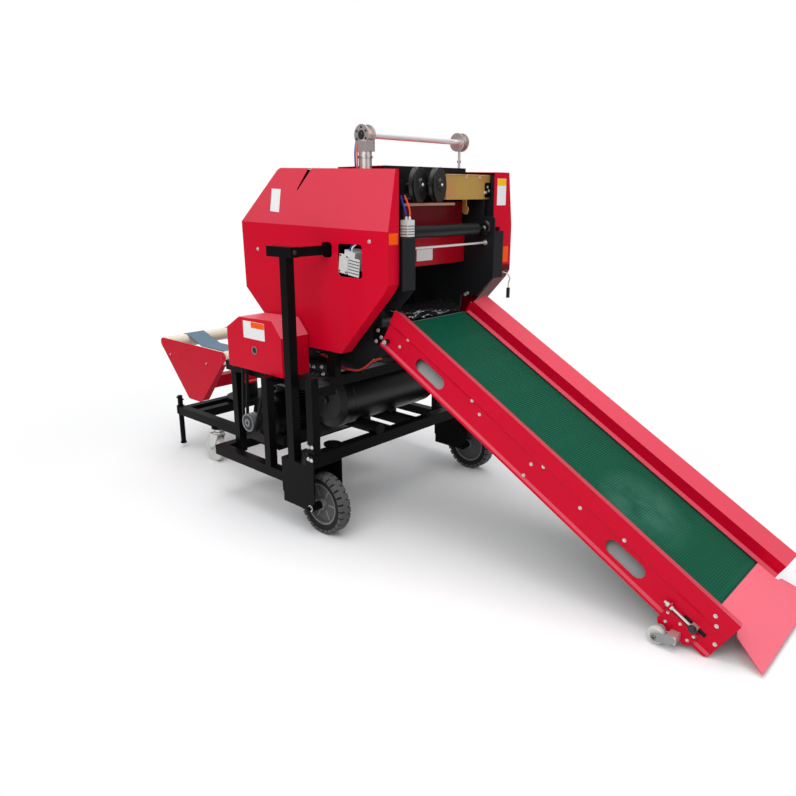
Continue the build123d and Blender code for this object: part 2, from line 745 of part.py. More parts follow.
def build_drive():
    low = front_bar_low + tube
    tank = rod_y(tank_x, tank_z, tank_radius, tank_left, tank_right)
    tank = chamfer(tank.edges().filter_by(GeomType.CIRCLE), tank_chamfer[0], tank_chamfer[1])
    for sign in (-1, 1):
        y = sign * middle_rail_y
        foot = block(tank_x - tank_foot, tank_x + tank_foot, y - tank_foot / 4, y + tank_foot / 4, low,
                     tank_z - tank_radius + tank_foot / 3)
        tank = tank + foot
    parts["air_tank"] = tank
    motor = rod_y(motor_x, motor_z, motor_radius, motor_left, motor_right)
    plinth = block(motor_x - motor_plinth, motor_x + motor_plinth, motor_left + motor_inset, motor_right - motor_inset,
                   rail_low + tube, motor_z - motor_radius + 15)
    base = block(rail_rear + tube, motor_base_front, motor_left + motor_inset / 2, middle_rail_y + 60, rail_low + tube - 8,
                 rail_low + tube)
    shaft = rod_y(motor_x, motor_z, 12, drive_y + belt_pulley_width / 2 + touch, motor_left)
    parts["motor"] = motor + plinth + base + shaft
    half = belt_pulley_width / 2
    pulley = rod_y(motor_x, motor_z, motor_pulley_radius, drive_y - half, drive_y + half)
    for y in (-16.5, 0.0, 16.5):
        pulley = pulley - ring_y(motor_x, motor_z, motor_pulley_radius + 1, motor_pulley_radius - 7,
                                 drive_y + y - 3, drive_y + y + 3)
    parts["motor_pulley"] = pulley
    upper = rod_y(upper_pulley_x, upper_pulley_z, upper_pulley_radius - touch, drive_y - 17, drive_y + 17)
    upper_shaft = rod_y(upper_pulley_x, upper_pulley_z, 14, drive_y + 17, -guard_in - sheet - touch)
    parts["upper_pulley"] = upper + upper_shaft
    drop, run, dip = guard_shoulder
    outline = [(guard_rear, guard_low), (guard_rear, guard_top - drop), (guard_rear + run, guard_top - dip),
               (guard_front - guard_nose[0], guard_top), (guard_front, guard_top - guard_nose[1]),
               (guard_front, guard_low)]
    outer_face = make_face(Polyline(*outline, close=True))
    inner_face = offset(outer_face, amount=-sheet)
    box = Pos(0, -guard_out, 0) * extrude(Plane.XZ * outer_face, -(guard_out - guard_in))
    inner = Pos(0, -guard_out + sheet, 0) * extrude(Plane.XZ * inner_face, -(guard_out - guard_in - 2 * sheet))
    mouth = block(guard_rear + sheet, guard_front - sheet, -guard_out + sheet, -guard_in - sheet, guard_low - 1,
                  guard_low + sheet + 1)
    parts["belt_guard"] = box - inner - mouth
    parts["drive_belts"] = drive_belts()


# Wrapper
cradle_belt_y = (-140.0, 140.0)
cradle_belt_width = 120.0


def cradle_belts():
    """Two belts hung over both cradle rollers, sagging between them."""
    r0 = cradle_roller_radius + touch
    r1 = r0 + 4
    x = cradle_roller_x
    sag = 52.0
    upper = make_face(Polyline((-x, r1), (-x * 0.45, r1 - sag), (x * 0.45, r1 - sag), (x, r1), (x, r0),
                               (x * 0.45, r0 - sag), (-x * 0.45, r0 - sag), (-x, r0), close=True))
    halves = []
    for sign in (-1, 1):
        ring = Pos(sign * x, 0) * (Circle(r1) - Circle(r0))
        keep = Pos(sign * (x + r1), 0) * Rectangle(2 * r1, 2 * r1)
        halves.append(ring & keep)
    flat = upper - Pos(-x, 0) * Circle(r0) - Pos(x, 0) * Circle(r0) + halves[0] + halves[1]
    belts = []
    for y in cradle_belt_y:
        place = Pos(cradle_x, y + cradle_belt_width / 2, cradle_roller_z)
        belts.append(place * extrude(Plane.XZ * flat, cradle_belt_width))
    return join(belts)


def build_wrapper():
    rail_top = rail_low + tube
    half = tube / 2
    frame = []
    for side, sign in (("left", -1), ("right", 1)):
        y = sign * wrap_rail_y
        rail = block(wrap_rear, rail_rear, y - half, y + half, rail_low, rail_top)
        mount = rod_z(rear_caster_x, sign * rear_caster_y, 38, rail_low - 10, rail_low)
        frame.append(rail + mount)
        fork, wheel = caster(rear_caster_x, sign * rear_caster_y, rear_caster_radius, rear_caster_width,
                             rear_caster_offset, rail_low - 10)
        parts["rear_caster_fork_" + side] = fork
        parts["rear_caster_wheel_" + side] = wheel
    inner = wrap_rail_y - half
    frame.append(block(wrap_rear, wrap_rear + tube, -inner, inner, rail_low, rail_top))
    mid = block(cradle_x - half, cradle_x + half, -inner, inner, rail_low, rail_top)
    table_low = turntable_z - turntable_thick
    frame.append(mid + rod_z(cradle_x, 0, turntable_seat, rail_top, table_low))
    jack_x = wrap_rear - jack_step
    jack_y = -wrap_rail_y
    collar = rod_z(jack_x, jack_y, jack_radius + jack_collar, rail_low, rail_top)
    collar = collar - rod_z(jack_x, jack_y, jack_radius + bore_gap, rail_low - 1, rail_top + 1)
    parts["wrapper_frame"] = join(frame + [collar])
    parts["jack"] = rod_z(jack_x, jack_y, jack_radius, jack_low, jack_top)
    table = rod_z(cradle_x, 0, turntable_radius, table_low + touch, turntable_z)
    beam = block(cradle_x - 30, cradle_x + 30, -cradle_plate_y + 4, cradle_plate_y - 4, cradle_beam[0], cradle_beam[1])
    beam = beam + rod_z(cradle_x, 0, turntable_radius / 2, turntable_z, cradle_beam[0])
    walls = []
    outline = [(cradle_x - cradle_half_x, cradle_top), (cradle_x - cradle_foot_x, cradle_low),
               (cradle_x + cradle_foot_x, cradle_low), (cradle_x + cradle_half_x, cradle_top)]
    for side, sign in (("left", -1), ("right", 1)):
        y0 = cradle_plate_y - 4
        wall = slab(outline, y0, cradle_plate_y, cradle_corner)
        for x in (-cradle_roller_x, cradle_roller_x):
            wall = wall - rod_y(cradle_x + x, cradle_roller_z, 8 + bore_gap, y0 - 1, cradle_plate_y + 1)
        walls.append(wall if sign > 0 else mirror_y(wall))
    parts["cradle"] = join([table + beam] + walls)
    parts["cradle_belts"] = cradle_belts()
    for name, x in (("front", cradle_roller_x), ("rear", -cradle_roller_x)):
        reach = cradle_plate_y - 4 - 2
        parts["cradle_roller_" + name] = rod_y(cradle_x + x, cradle_roller_z, cradle_roller_radius, -reach, reach) + \
            rod_y(cradle_x + x, cradle_roller_z, 8, -cradle_plate_y - 4, cradle_plate_y + 4)


def caster(x, y, radius, width, offset_x, top):
    """Swivel caster under a mount at height top: fork with a crown and two cheeks, wheel on its bolt behind."""
    gap = 3.0
    cheek = 3.0
    wheel_x = x - offset_x
    crown_low = 2 * radius + 6
    out = width / 2 + gap + cheek
    crown = rod_z(x, y, 22, crown_low + 4, top - touch)
    fork = crown + block(wheel_x - 12, x + 22, y - out, y + out, crown_low, crown_low + 4)
    for sign in (-1, 1):
        y0 = y + sign * (width / 2 + gap)
        y1 = y + sign * out
        lo, hi = min(y0, y1), max(y0, y1)
        outline = [(wheel_x - 12, radius - 10), (wheel_x + 12, radius - 10), (x + 22, crown_low), (wheel_x - 12, crown_low)]
        fork = fork + slab(outline, lo, hi)
    fork = fork + rod_y(wheel_x, radius, 5, y - out - 4, y + out + 4)
    wheel = rod_y(wheel_x, radius, radius, y - width / 2, y + width / 2)
    wheel = chamfer(wheel.edges().filter_by(GeomType.CIRCLE), 4)
    wheel = wheel - rod_y(wheel_x, radius, 5 + bore_gap, y - width, y + width)
    return fork, wheel


# Conveyor
slope_place = Location((conveyor_x, 0, conveyor_z), (0, conveyor_slope, 0))


def on_slope(shape):
    return slope_place * shape


def beam_section():
    """Far beam across the slope: bent ledge, inner wall, leaning top flange and outer web with a bottom return."""
    path = [(belt_half + 4, belt_n - 1), (fold_y, wall_n), (fold_y, fold_n), (conveyor_half, 0), (conveyor_half, -60),
            (conveyor_half - web_step, -72), (conveyor_half - web_step, -web_height + 20),
            (conveyor_half, -web_height + 10), (conveyor_half, -web_height), (conveyor_half - 30, -web_height)]
    return bent(path, -sheet)


def build_conveyor():
    section = beam_section()
    beam = extrude(Plane.YZ * section, conveyor_length)
    for s in slot_s:
        box = Pos(s + slot_length / 2, conveyor_half - 4, slot_n) * Box(slot_length - slot_height, 30, slot_height)
        ends = [Pos(s + d, conveyor_half - 4, slot_n) * Rot(90, 0, 0) * Cylinder(slot_height / 2, 30)
                for d in (slot_height / 2, slot_length - slot_height / 2)]
        cut = box + ends[0] + ends[1]
        beam = beam - cut
    beam = beam - Pos(pivot_s, conveyor_half - 4, pivot_n) * Rot(90, 0, 0) * Cylinder(pin_radius + bore_gap, 30)
    drum_n = belt_n - belt_thick - drum_radius - touch
    shaft_hole = drum_shaft + bore_gap
    cheek_y = fold_y - 1
    cheek = block(cheek_s[0], cheek_s[1], cheek_y, cheek_y + cheek_thick, cheek_low, fold_n - 10)
    beam = beam + (cheek - rod_y(head_s, drum_n, shaft_hole, cheek_y - 1, cheek_y + cheek_thick + 1))
    beam = beam - block(tail_slot_s[0], tail_slot_s[1], conveyor_half - 20, conveyor_half + 1, drum_n - shaft_hole,
                        drum_n + shaft_hole)
    corner = rod_y(conveyor_length - web_corner, web_corner - web_height, web_corner, conveyor_half - 60, conveyor_half + 20)
    square = block(conveyor_length - web_corner, conveyor_length + 1, conveyor_half - 60, conveyor_half + 1,
                   -web_height - 1, web_corner - web_height)
    beam = beam - (square - corner)
    far = on_slope(beam)
    parts["conveyor_beam_right"] = far
    parts["conveyor_beam_left"] = mirror_y(far)
    for name, s, reach in (("head", head_s, cheek_y + cheek_thick + 2), ("tail", tail_s, conveyor_half + 20)):
        drum = Pos(s, 0, drum_n) * Rot(90, 0, 0) * Cylinder(drum_radius, 2 * belt_half - 6)
        shaft = Pos(s, 0, drum_n) * Rot(90, 0, 0) * Cylinder(drum_shaft, 2 * reach)
        parts[name + "_drum"] = on_slope(drum + shaft)
    r0 = drum_radius + touch
    r1 = r0 + belt_thick
    outer = SlotCenterToCenter(tail_s - head_s, 2 * r1)
    inner = SlotCenterToCenter(tail_s - head_s, 2 * r0)
    loop = extrude(Plane.XZ * (outer - inner), belt_half, both=True)
    parts["conveyor_belt"] = on_slope(Pos((head_s + tail_s) / 2, 0, drum_n) * loop)
    web_in = conveyor_half - web_step - sheet
    bed_n = belt_n - belt_thick - touch
    bed = block(head_s + r1 + 20, tail_s - r1 - 20, -belt_half + 2, belt_half - 2, bed_n - sheet, bed_n)
    ties = []
    for s in conveyor_tie_s:
        tie = block(s, s + 30, -web_in, web_in, drum_n - 8, bed_n - sheet)
        ties.append(tie)
    lip_n = belt_n + 2
    lip_tie_s = conveyor_length - 34
    lip_tie = block(lip_tie_s, lip_tie_s + 28, -web_in, web_in, lip_n - 28, lip_n - 8)
    lip_rest = block(lip_tie_s, lip_tie_s + 28, -lip_half_top, lip_half_top, lip_n - 8, lip_n - touch)
    parts["conveyor_bed"] = on_slope(join([bed, lip_tie + lip_rest] + ties))
    reach = web_in - touch
    idlers = [rod_y(s, drum_n, return_roller_radius, -reach, reach) for s in return_roller_s]
    parts["return_rollers"] = on_slope(join(idlers))
    lip_edge = [(lip_start, lip_half_top), (conveyor_length + 8, lip_half_top),
                (conveyor_length + 17, lip_half_top + lip_shoulder), (lip_end, lip_half_end)]
    lip = make_face(Polyline(*[(s, -y) for s, y in lip_edge], *reversed(lip_edge), close=True))
    lip_plate = Pos(0, 0, lip_n) * extrude(lip, sheet)
    parts["lip_plate"] = on_slope(lip_plate)
    brackets = []
    tensioners = []
    for side, sign in (("left", -1), ("right", 1)):
        bracket = caster_bracket(drum_n)
        tensioner = tension_rod(drum_n)
        fork, wheel = rigid_caster()
        for shape, kept in ((bracket, brackets), (tensioner, tensioners)):
            kept.append(shape if sign > 0 else mirror_y(shape))
        parts["conveyor_caster_fork_" + side] = fork if sign > 0 else mirror_y(fork)
        parts["conveyor_caster_wheel_" + side] = wheel if sign > 0 else mirror_y(wheel)
    parts["caster_brackets"] = join(brackets)
    parts["tensioners"] = join(tensioners)


def caster_bracket(drum_n):
    """Plate bolted outside the far web, its lower edge scalloped, with the lug that holds the belt tensioner."""
    s0, s1 = bracket_s
    n0, n1 = bracket_n
    outline = [(s0, n1), (s1, n1), (s1, n0 + 23), (s1 - 17, n0 + 7), (s0 + 60, n0), (s0 + 15, n0), (s0, n0 + 13)]
    plate_y = conveyor_half + sheet + 2
    body = slab(outline, conveyor_half, plate_y)
    for s in (s0 + 30, s1 - 30):
        body = body - rod_y(s, n0 - 6, 16, conveyor_half - 1, plate_y + 1)
    lug = block(s0, s0 + tension_lug, conveyor_half, conveyor_half + 15, n1 - 7, drum_n + 12)
    lug = lug - rod_x(conveyor_half + 6, drum_n, tension_rod_radius + bore_gap, s0 - 1, s0 + tension_lug + 1)
    return on_slope(body + lug)


def tension_rod(drum_n):
    """Threaded rod from the lug to the bearing block of the tail drum's shaft."""
    y = conveyor_half + 6
    s0 = bracket_s[0]
    bearing = block(tail_s - 12, tail_s + 12, conveyor_half - 6 + touch, y + 7, drum_n - 12, drum_n + 12)
    bearing = bearing - rod_y(tail_s, drum_n, drum_shaft + bore_gap, conveyor_half - 20, y + 8)
    rod = rod_x(y, drum_n, tension_rod_radius, tension_rod_s - 8, tail_s - 11)
    nuts = rod_x(y, drum_n, 8, tension_rod_s, s0 - touch) + \
        rod_x(y, drum_n, 8, s0 + tension_lug + touch, s0 + tension_lug + 8)
    return on_slope(bearing + rod + nuts)


def rigid_caster():
    """Small wheel under the conveyor's low end: cast fork seated on the bracket, wheel behind it on a bolt."""
    x = conveyor_caster_x
    y = conveyor_caster_y
    half = caster_width / 2
    front = x + caster_radius + arm_gap
    back = front + arm_length
    crown = block(front, back, conveyor_half + sheet + 2 + touch, y + half + 6, 30, 56)
    outline = [(x - 11, 22), (x + 4, 18), (back, 30), (back, 54), (x + 2, 43), (x - 11, 38)]
    fork = crown + slab(outline, y - half - 6, y - half - 3) + slab(outline, y + half + 3, y + half + 6)
    fork = fork + rod_y(x, caster_radius, 5, y - half - 8, y + half + 10)
    wheel = rod_y(x, caster_radius, caster_radius, y - half, y + half)
    wheel = chamfer(wheel.edges().filter_by(GeomType.CIRCLE), 4)
    return fork, wheel - rod_y(x, caster_radius, 5 + bore_gap, y - half - 1, y + half + 1)


# Hoses and the pull cord
hose_points = [(hose_rear, hose_rear_z), (-205, hose_rear_z), (-140, 678), (-60, 664), (22, 676),
               (105, hose_front_z), (hose_front, hose_front_z)]


def soft_tube(name, points, diameter):
    """Round cord through these points: straight runs with arcs that touch them."""
    vectors = [Vector(*point) for point in points]
    radii = []
    for before, here, after in zip(vectors, vectors[1:], vectors[2:]):
        first = here - before
        second = after - here
        turn = math.radians(first.get_angle(second))
        radii.append(round(0.45 * min(first.length, second.length) / math.tan(turn / 2), 1))
    print(name, "radii", radii)
    path = FilletPolyline(*points, radius=radii)
    start = Plane(origin=points[0], z_dir=vectors[1] - vectors[0])
    parts[name] = sweep(start * Circle(diameter / 2), path)


def build_cords():
    for name, y in zip(("hose_purple", "hose_orange"), hose_y):
        soft_tube(name, [(x, y, z) for x, z in hose_points], hose_diameter)
    y = far_cover_half - far_cover_depth + 12
    soft_tube("pull_cord", [(cover_front + 8, y, 1058), (cord_x + 10, y, 1058), (cord_x + 12, cord_y - 4, 1030),
                            (cord_x, cord_y, plug_top + 24), (cord_x, cord_y, plug_top)], cord_diameter)
    parts["pull_plug"] = rod_z(cord_x, cord_y, plug_radius, plug_top - plug_length, plug_top)


build_frame()
build_wheels()
build_handle()
build_chamber()
build_gate()
build_covers()
build_mouth()
build_columns()
build_drive()
build_wrapper()
build_conveyor()
build_cords()

boxes = [shape.bounding_box() for shape in parts.values()]
low_corner = [min(getattr(box.min, axis) for box in boxes) for axis in "XYZ"]
high_corner = [max(getattr(box.max, axis) for box in boxes) for axis in "XYZ"]
shift = (-(low_corner[0] + high_corner[0]) / 2, -(low_corner[1] + high_corner[1]) / 2, -low_corner[2])

if __name__ == "__main__":
    os.makedirs("parts", exist_ok=True)
    for name, shape in parts.items():
        export_step(Pos(*shift) * shape, "parts/" + name + ".step")
    print("nodes", len(parts), "shift", shift, "low", low_corner, "high", high_corner)
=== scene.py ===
import math

import bmesh
import bpy
from mathutils import Matrix, Vector, noise


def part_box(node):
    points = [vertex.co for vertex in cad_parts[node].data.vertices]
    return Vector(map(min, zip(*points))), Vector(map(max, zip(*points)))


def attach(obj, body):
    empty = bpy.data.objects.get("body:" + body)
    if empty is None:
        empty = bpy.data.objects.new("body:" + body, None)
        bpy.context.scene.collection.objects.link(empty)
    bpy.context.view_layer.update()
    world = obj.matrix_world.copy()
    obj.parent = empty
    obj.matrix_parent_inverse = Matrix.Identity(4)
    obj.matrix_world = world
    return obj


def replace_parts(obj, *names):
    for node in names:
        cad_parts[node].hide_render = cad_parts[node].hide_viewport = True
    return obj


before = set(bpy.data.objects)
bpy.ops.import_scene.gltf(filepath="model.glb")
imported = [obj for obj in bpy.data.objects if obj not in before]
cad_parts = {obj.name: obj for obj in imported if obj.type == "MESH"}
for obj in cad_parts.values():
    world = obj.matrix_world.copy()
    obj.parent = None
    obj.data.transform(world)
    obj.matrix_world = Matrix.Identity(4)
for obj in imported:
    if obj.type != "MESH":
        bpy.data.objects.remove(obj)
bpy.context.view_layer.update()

# Places below are in millimetres from the front axle, the centre plane and the floor.
axleLow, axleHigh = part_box("front_tyre_left")
axleX = (axleLow.x + axleHigh.x) / 2
nearAim, farAim, frontAim, backAim, upAim, downAim = (0, -1, 0), (0, 1, 0), (1, 0, 0), (-1, 0, 0), (0, 0, 1), (0, 0, -1)
nearAndFar = (("Near", -1), ("Far", 1))
leftAndRight = (("left", -1), ("right", 1))


def place(x, y, z):
    return Vector((axleX + x / 1000, y / 1000, z / 1000))


def places(points):
    return [place(*point) for point in points]


# The conveyor's own directions: s down its slope, y across, n square to its top edge.
slopeValues = {"topX": 216.0, "topZ": 955.0, "angle": 29.8}
slopeCos = math.cos(math.radians(slopeValues["angle"]))
slopeSin = math.sin(math.radians(slopeValues["angle"]))
downSlope = Vector((slopeCos, 0, -slopeSin))
offSlope = Vector((slopeSin, 0, slopeCos))


def onSlope(s, y, n):
    return place(slopeValues["topX"] + s * slopeCos + n * slopeSin, y,
                 slopeValues["topZ"] - s * slopeSin + n * slopeCos)


def newObject(name, data):
    item = bpy.data.objects.new(name, data)
    bpy.context.scene.collection.objects.link(item)
    return item


# Node helpers, for shader and geometry trees alike
def plug(tree, socket, value):
    if isinstance(value, bpy.types.NodeSocket):
        tree.links.new(value, socket)
    elif socket.type == "RGBA" and len(value) == 3:
        socket.default_value = (*value, 1)
    else:
        socket.default_value = value


def nodeOf(tree, kind, settings=None, **inputs):
    node = tree.nodes.new(kind)
    for key, value in (settings or {}).items():
        setattr(node, key, value)
    for label, value in inputs.items():
        plug(tree, node.inputs[label.replace("_", " ")], value)
    return node


def newGroup(name, treeKind, inputs, outputs):
    group = bpy.data.node_groups.new(name, treeKind)
    for way, rows in (("INPUT", inputs), ("OUTPUT", outputs)):
        for label, kind, *value in rows:
            socket = group.interface.new_socket(name=label, in_out=way, socket_type="NodeSocket" + kind)
            if value:
                socket.default_value = value[0]
    return group, group.nodes.new("NodeGroupInput").outputs, group.nodes.new("NodeGroupOutput").inputs


def mathNode(tree, operation, first, second=None, clamp=False):
    node = nodeOf(tree, "ShaderNodeMath", {"operation": operation, "use_clamp": clamp})
    plug(tree, node.inputs[0], first)
    if second is not None:
        plug(tree, node.inputs[1], second)
    return node.outputs[0]


def times(tree, first, second, clamp=False):
    return mathNode(tree, "MULTIPLY", first, second, clamp)


def plus(tree, first, second, clamp=False):
    return mathNode(tree, "ADD", first, second, clamp)


def minus(tree, first, second, clamp=False):
    return mathNode(tree, "SUBTRACT", first, second, clamp)


# From 0 at the start upward, steeper with the gain, and never above 1
def rise(tree, value, start, gain):
    return times(tree, minus(tree, value, start, True), gain, True)


def mixColour(tree, factor, first, second):
    return nodeOf(tree, "ShaderNodeMix", {"data_type": "RGBA"}, Factor=factor, A=first, B=second).outputs["Result"]


def noiseNode(tree, vector, scale, detail=4.0, roughness=0.55):
    return nodeOf(tree, "ShaderNodeTexNoise", Vector=vector, Scale=scale, Detail=detail,
                  Roughness=roughness).outputs["Fac"]


def objectCoordinates(tree):
    return nodeOf(tree, "ShaderNodeTexCoord").outputs["Object"]


def objectAxes(tree):
    return nodeOf(tree, "ShaderNodeSeparateXYZ", Vector=objectCoordinates(tree)).outputs


def dotProduct(tree, first, second):
    node = nodeOf(tree, "ShaderNodeVectorMath", {"operation": "DOT_PRODUCT"})
    plug(tree, node.inputs[0], first)
    plug(tree, node.inputs[1], second)
    return node.outputs["Value"]


def alongDirection(tree, vector, direction, start=(0, 0, 0)):
    return minus(tree, dotProduct(tree, vector, direction), Vector(start).dot(Vector(direction)))


def seenDirectly(tree):
    path = nodeOf(tree, "ShaderNodeLightPath").outputs
    return mathNode(tree, "MAXIMUM", path["Is Camera Ray"], path["Is Transmission Ray"])


def mixShaders(tree, factor, first, second, target):
    mix = nodeOf(tree, "ShaderNodeMixShader", Fac=factor)
    for socket, source in zip(mix.inputs[1:], (first, second)):
        tree.links.new(source.outputs[0], socket)
    tree.links.new(mix.outputs[0], target)


# Camera, floor and light
viewValues = {"spot": (2124.0, -2371.0, 1400.0), "yaw": 42.49, "pitch": 16.01, "roll": -0.08, "lens": 32.29,
              "sensor": 36.0, "clipEnd": 60.0}
worldValues = {"tint": (0.95, 0.97, 1.0), "low": 0.20, "high": 0.75, "highAt": 0.8}
floorValues = {"colour": (0.84, 0.84, 0.84), "roughness": 0.9, "specular": 0.1, "half": 14.0,
               "squeeze": (0.62, 1.0, 1.0), "fadeStart": 0.9, "fadeEnd": 1.9}
# Each light: energy, size in metres, place, what it is aimed at.
lightValues = {
    "topLight": (120.0, (4.6, 4.0), (200, -300, 4300), (100, 0, 500)),
    "keyLight": (62.0, (2.8, 2.2), (1300, -3300, 2700), (200, 0, 600)),
    "fillLight": (26.0, (3.0, 2.4), (4200, 400, 2200), (300, 0, 600)),
    "rimLight": (22.0, (3.0, 2.0), (-3000, 2200, 2600), (-300, 0, 700)),
}


def makeCamera(values):
    data = bpy.data.cameras.new("photoCamera")
    data.lens = values["lens"]
    data.sensor_width = values["sensor"]
    data.clip_end = values["clipEnd"]
    camera = newObject("photoCamera", data)
    camera.location = place(*values["spot"])
    turn, tip, roll = (Matrix.Rotation(math.radians(angle), 4, axis) for angle, axis in (
        (values["yaw"], "Z"), (90 - values["pitch"], "X"), (values["roll"], "Z")))
    camera.rotation_euler = (turn @ tip @ roll).to_euler()
    bpy.context.scene.camera = camera


def makeWorld(values):
    world = bpy.data.worlds.new("studio")
    bpy.context.scene.world = world
    world.use_nodes = True
    tree = world.node_tree
    tree.nodes.clear()
    # A studio is paler overhead than at its walls.
    around = nodeOf(tree, "ShaderNodeTexCoord").outputs["Generated"]
    height = nodeOf(tree, "ShaderNodeSeparateXYZ", Vector=around).outputs["Z"]
    strength = nodeOf(tree, "ShaderNodeMapRange", Value=height, From_Min=0.0, From_Max=values["highAt"],
                      To_Min=values["low"], To_Max=values["high"])
    soft = nodeOf(tree, "ShaderNodeBackground", Color=values["tint"], Strength=strength.outputs[0])
    white = nodeOf(tree, "ShaderNodeBackground", Color=(1, 1, 1))
    mixShaders(tree, seenDirectly(tree), soft, white, nodeOf(tree, "ShaderNodeOutputWorld").inputs["Surface"])


def makeFloor(values):
    half = values["half"]
    mesh = bpy.data.meshes.new("floor")
    mesh.from_pydata([(-half, -half, 0), (half, -half, 0), (half, half, 0), (-half, half, 0)], [], [(0, 1, 2, 3)])
    material = bpy.data.materials.new("floorPaint")
    material.use_nodes = True
    tree = material.node_tree
    shader = tree.nodes["Principled BSDF"]
    plug(tree, shader.inputs["Base Color"], values["colour"])
    plug(tree, shader.inputs["Roughness"], values["roughness"])
    plug(tree, shader.inputs["Specular IOR Level"], values["specular"])
    # Away from the machine the floor passes into white for what sees it directly.
    squeezed = nodeOf(tree, "ShaderNodeMapping", Vector=objectCoordinates(tree), Scale=values["squeeze"])
    reach = nodeOf(tree, "ShaderNodeVectorMath", {"operation": "LENGTH"}, Vector=squeezed.outputs[0])
    fade = nodeOf(tree, "ShaderNodeMapRange", {"interpolation_type": "SMOOTHSTEP"}, Value=reach.outputs["Value"],
                  From_Min=values["fadeStart"], From_Max=values["fadeEnd"])
    amount = times(tree, seenDirectly(tree), fade.outputs[0])
    mixShaders(tree, amount, shader, nodeOf(tree, "ShaderNodeEmission"),
               tree.nodes["Material Output"].inputs["Surface"])
    mesh.materials.append(material)
    newObject("floor", mesh)


def makeLight(name, energy, size, spot, target):
    data = bpy.data.lights.new(name, "AREA")
    data.energy = energy
    data.shape = "RECTANGLE"
    data.size, data.size_y = size
    lamp = newObject(name, data)
    lamp.location = place(*spot)
    lamp.rotation_euler = (place(*target) - place(*spot)).to_track_quat("-Z", "Y").to_euler()


makeCamera(viewValues)
makeWorld(worldValues)
makeFloor(floorValues)
for name, row in lightValues.items():
    makeLight(name, *row)
bpy.context.scene.view_settings.view_transform = "Standard"
print("stage: camera, floor and light")


# Edges rub pale, low places gather dust, and faces turned up get a painted sheen, a paler colour for overhead light.
wearValues = {"edgeGain": 6.0, "patchScale": 34.0, "patchFrom": 0.42, "patchGain": 7.0, "cloud": (6.0, 6.0, 0.65),
              "lyingFrom": 0.35, "lyingGain": 0.75, "shadeNoise": (2.2, 3.0), "shade": 0.12, "sheenFrom": 0.04,
              "sheenGain": 3.2, "dustRough": 0.6, "cloudRough": 0.12}


def makeWearGroup(v):
    group, start, end = newGroup("wearAndDust", "ShaderNodeTree", [
        ("Colour", "Color", (0.5, 0.5, 0.5, 1)), ("Bare Colour", "Color", (0.3, 0.3, 0.3, 1)),
        ("Dust Colour", "Color", (0.4, 0.34, 0.26, 1)), ("Edge", "Float", 0.3), ("Dust", "Float", 0.1),
        ("Roughness", "Float", 0.3), ("Edge Width", "Float", 0.002), ("Sky Colour", "Color", (1.0, 0.42, 0.52, 1)),
        ("Sky", "Float", 0.0)], [("Colour", "Color"), ("Roughness", "Float")])
    where = objectCoordinates(group)
    normal = nodeOf(group, "ShaderNodeNewGeometry").outputs["Normal"]
    upward = nodeOf(group, "ShaderNodeSeparateXYZ", Vector=normal).outputs["Z"]
    bevel = nodeOf(group, "ShaderNodeBevel", {"samples": 4}, Radius=start["Edge Width"]).outputs[0]
    edge = times(group, minus(group, 1.0, dotProduct(group, bevel, normal), True), v["edgeGain"], True)
    patchy = rise(group, noiseNode(group, where, v["patchScale"]), v["patchFrom"], v["patchGain"])
    worn = times(group, times(group, edge, patchy, True), start["Edge"], True)
    cloud = noiseNode(group, where, *v["cloud"])
    lying = times(group, plus(group, upward, v["lyingFrom"], True), v["lyingGain"], True)
    dusty = times(group, times(group, cloud, lying), start["Dust"], True)
    shade = times(group, noiseNode(group, where, *v["shadeNoise"]), v["shade"])
    shaded = mixColour(group, shade, start["Colour"], (0.0, 0.0, 0.0))
    # Painted sheen: faces turned up are mixed towards the Sky Colour.
    lit = times(group, rise(group, upward, v["sheenFrom"], v["sheenGain"]), start["Sky"], True)
    shaded = mixColour(group, lit, shaded, start["Sky Colour"])
    bare = mixColour(group, worn, shaded, start["Bare Colour"])
    plug(group, end["Colour"], mixColour(group, dusty, bare, start["Dust Colour"]))
    uneven = plus(group, times(group, dusty, v["dustRough"]),
                  times(group, minus(group, cloud, 0.5), v["cloudRough"]))
    plug(group, end["Roughness"], plus(group, start["Roughness"], uneven, True))
    return group


# Fine unevenness of a coat, casting or moulding, with the edges taken off
skinValues = {"fineDetail": 3.0, "fine": 0.35, "broadNoise": (3.5, 2.0), "broad": 2.5, "distance": 0.002}


def makeSkinGroup(v):
    group, start, end = newGroup("unevenSkin", "ShaderNodeTree", [
        ("Scale", "Float", 300.0), ("Depth", "Float", 0.05), ("Edge Radius", "Float", 0.0015)], [("Normal", "Vector")])
    where = objectCoordinates(group)
    bevel = nodeOf(group, "ShaderNodeBevel", {"samples": 4}, Radius=start["Edge Radius"]).outputs[0]
    fine = times(group, noiseNode(group, where, start["Scale"], v["fineDetail"]), v["fine"])
    height = plus(group, fine, times(group, noiseNode(group, where, *v["broadNoise"]), v["broad"]))
    bump = nodeOf(group, "ShaderNodeBump", Distance=v["distance"], Strength=start["Depth"], Height=height,
                  Normal=bevel)
    plug(group, end["Normal"], bump.outputs[0])
    return group


# Where a point lies on the conveyor: down its slope, off its top edge and across
def makeSlopeGroup():
    group, start, end = newGroup("slopePlace", "ShaderNodeTree", [],
                                 [("Down", "Float"), ("Off", "Float"), ("Across", "Float")])
    where = objectCoordinates(group)
    for label, direction, origin in (("Down", downSlope, onSlope(0, 0, 0)), ("Off", offSlope, onSlope(0, 0, 0)),
                                     ("Across", farAim, (0, 0, 0))):
        plug(group, end[label], alongDirection(group, where, direction, origin))
    return group


wearGroup, skinGroup, slopeGroup = makeWearGroup(wearValues), makeSkinGroup(skinValues), makeSlopeGroup()


def onConveyor(tree):
    return nodeOf(tree, "ShaderNodeGroup", {"node_tree": slopeGroup}).outputs


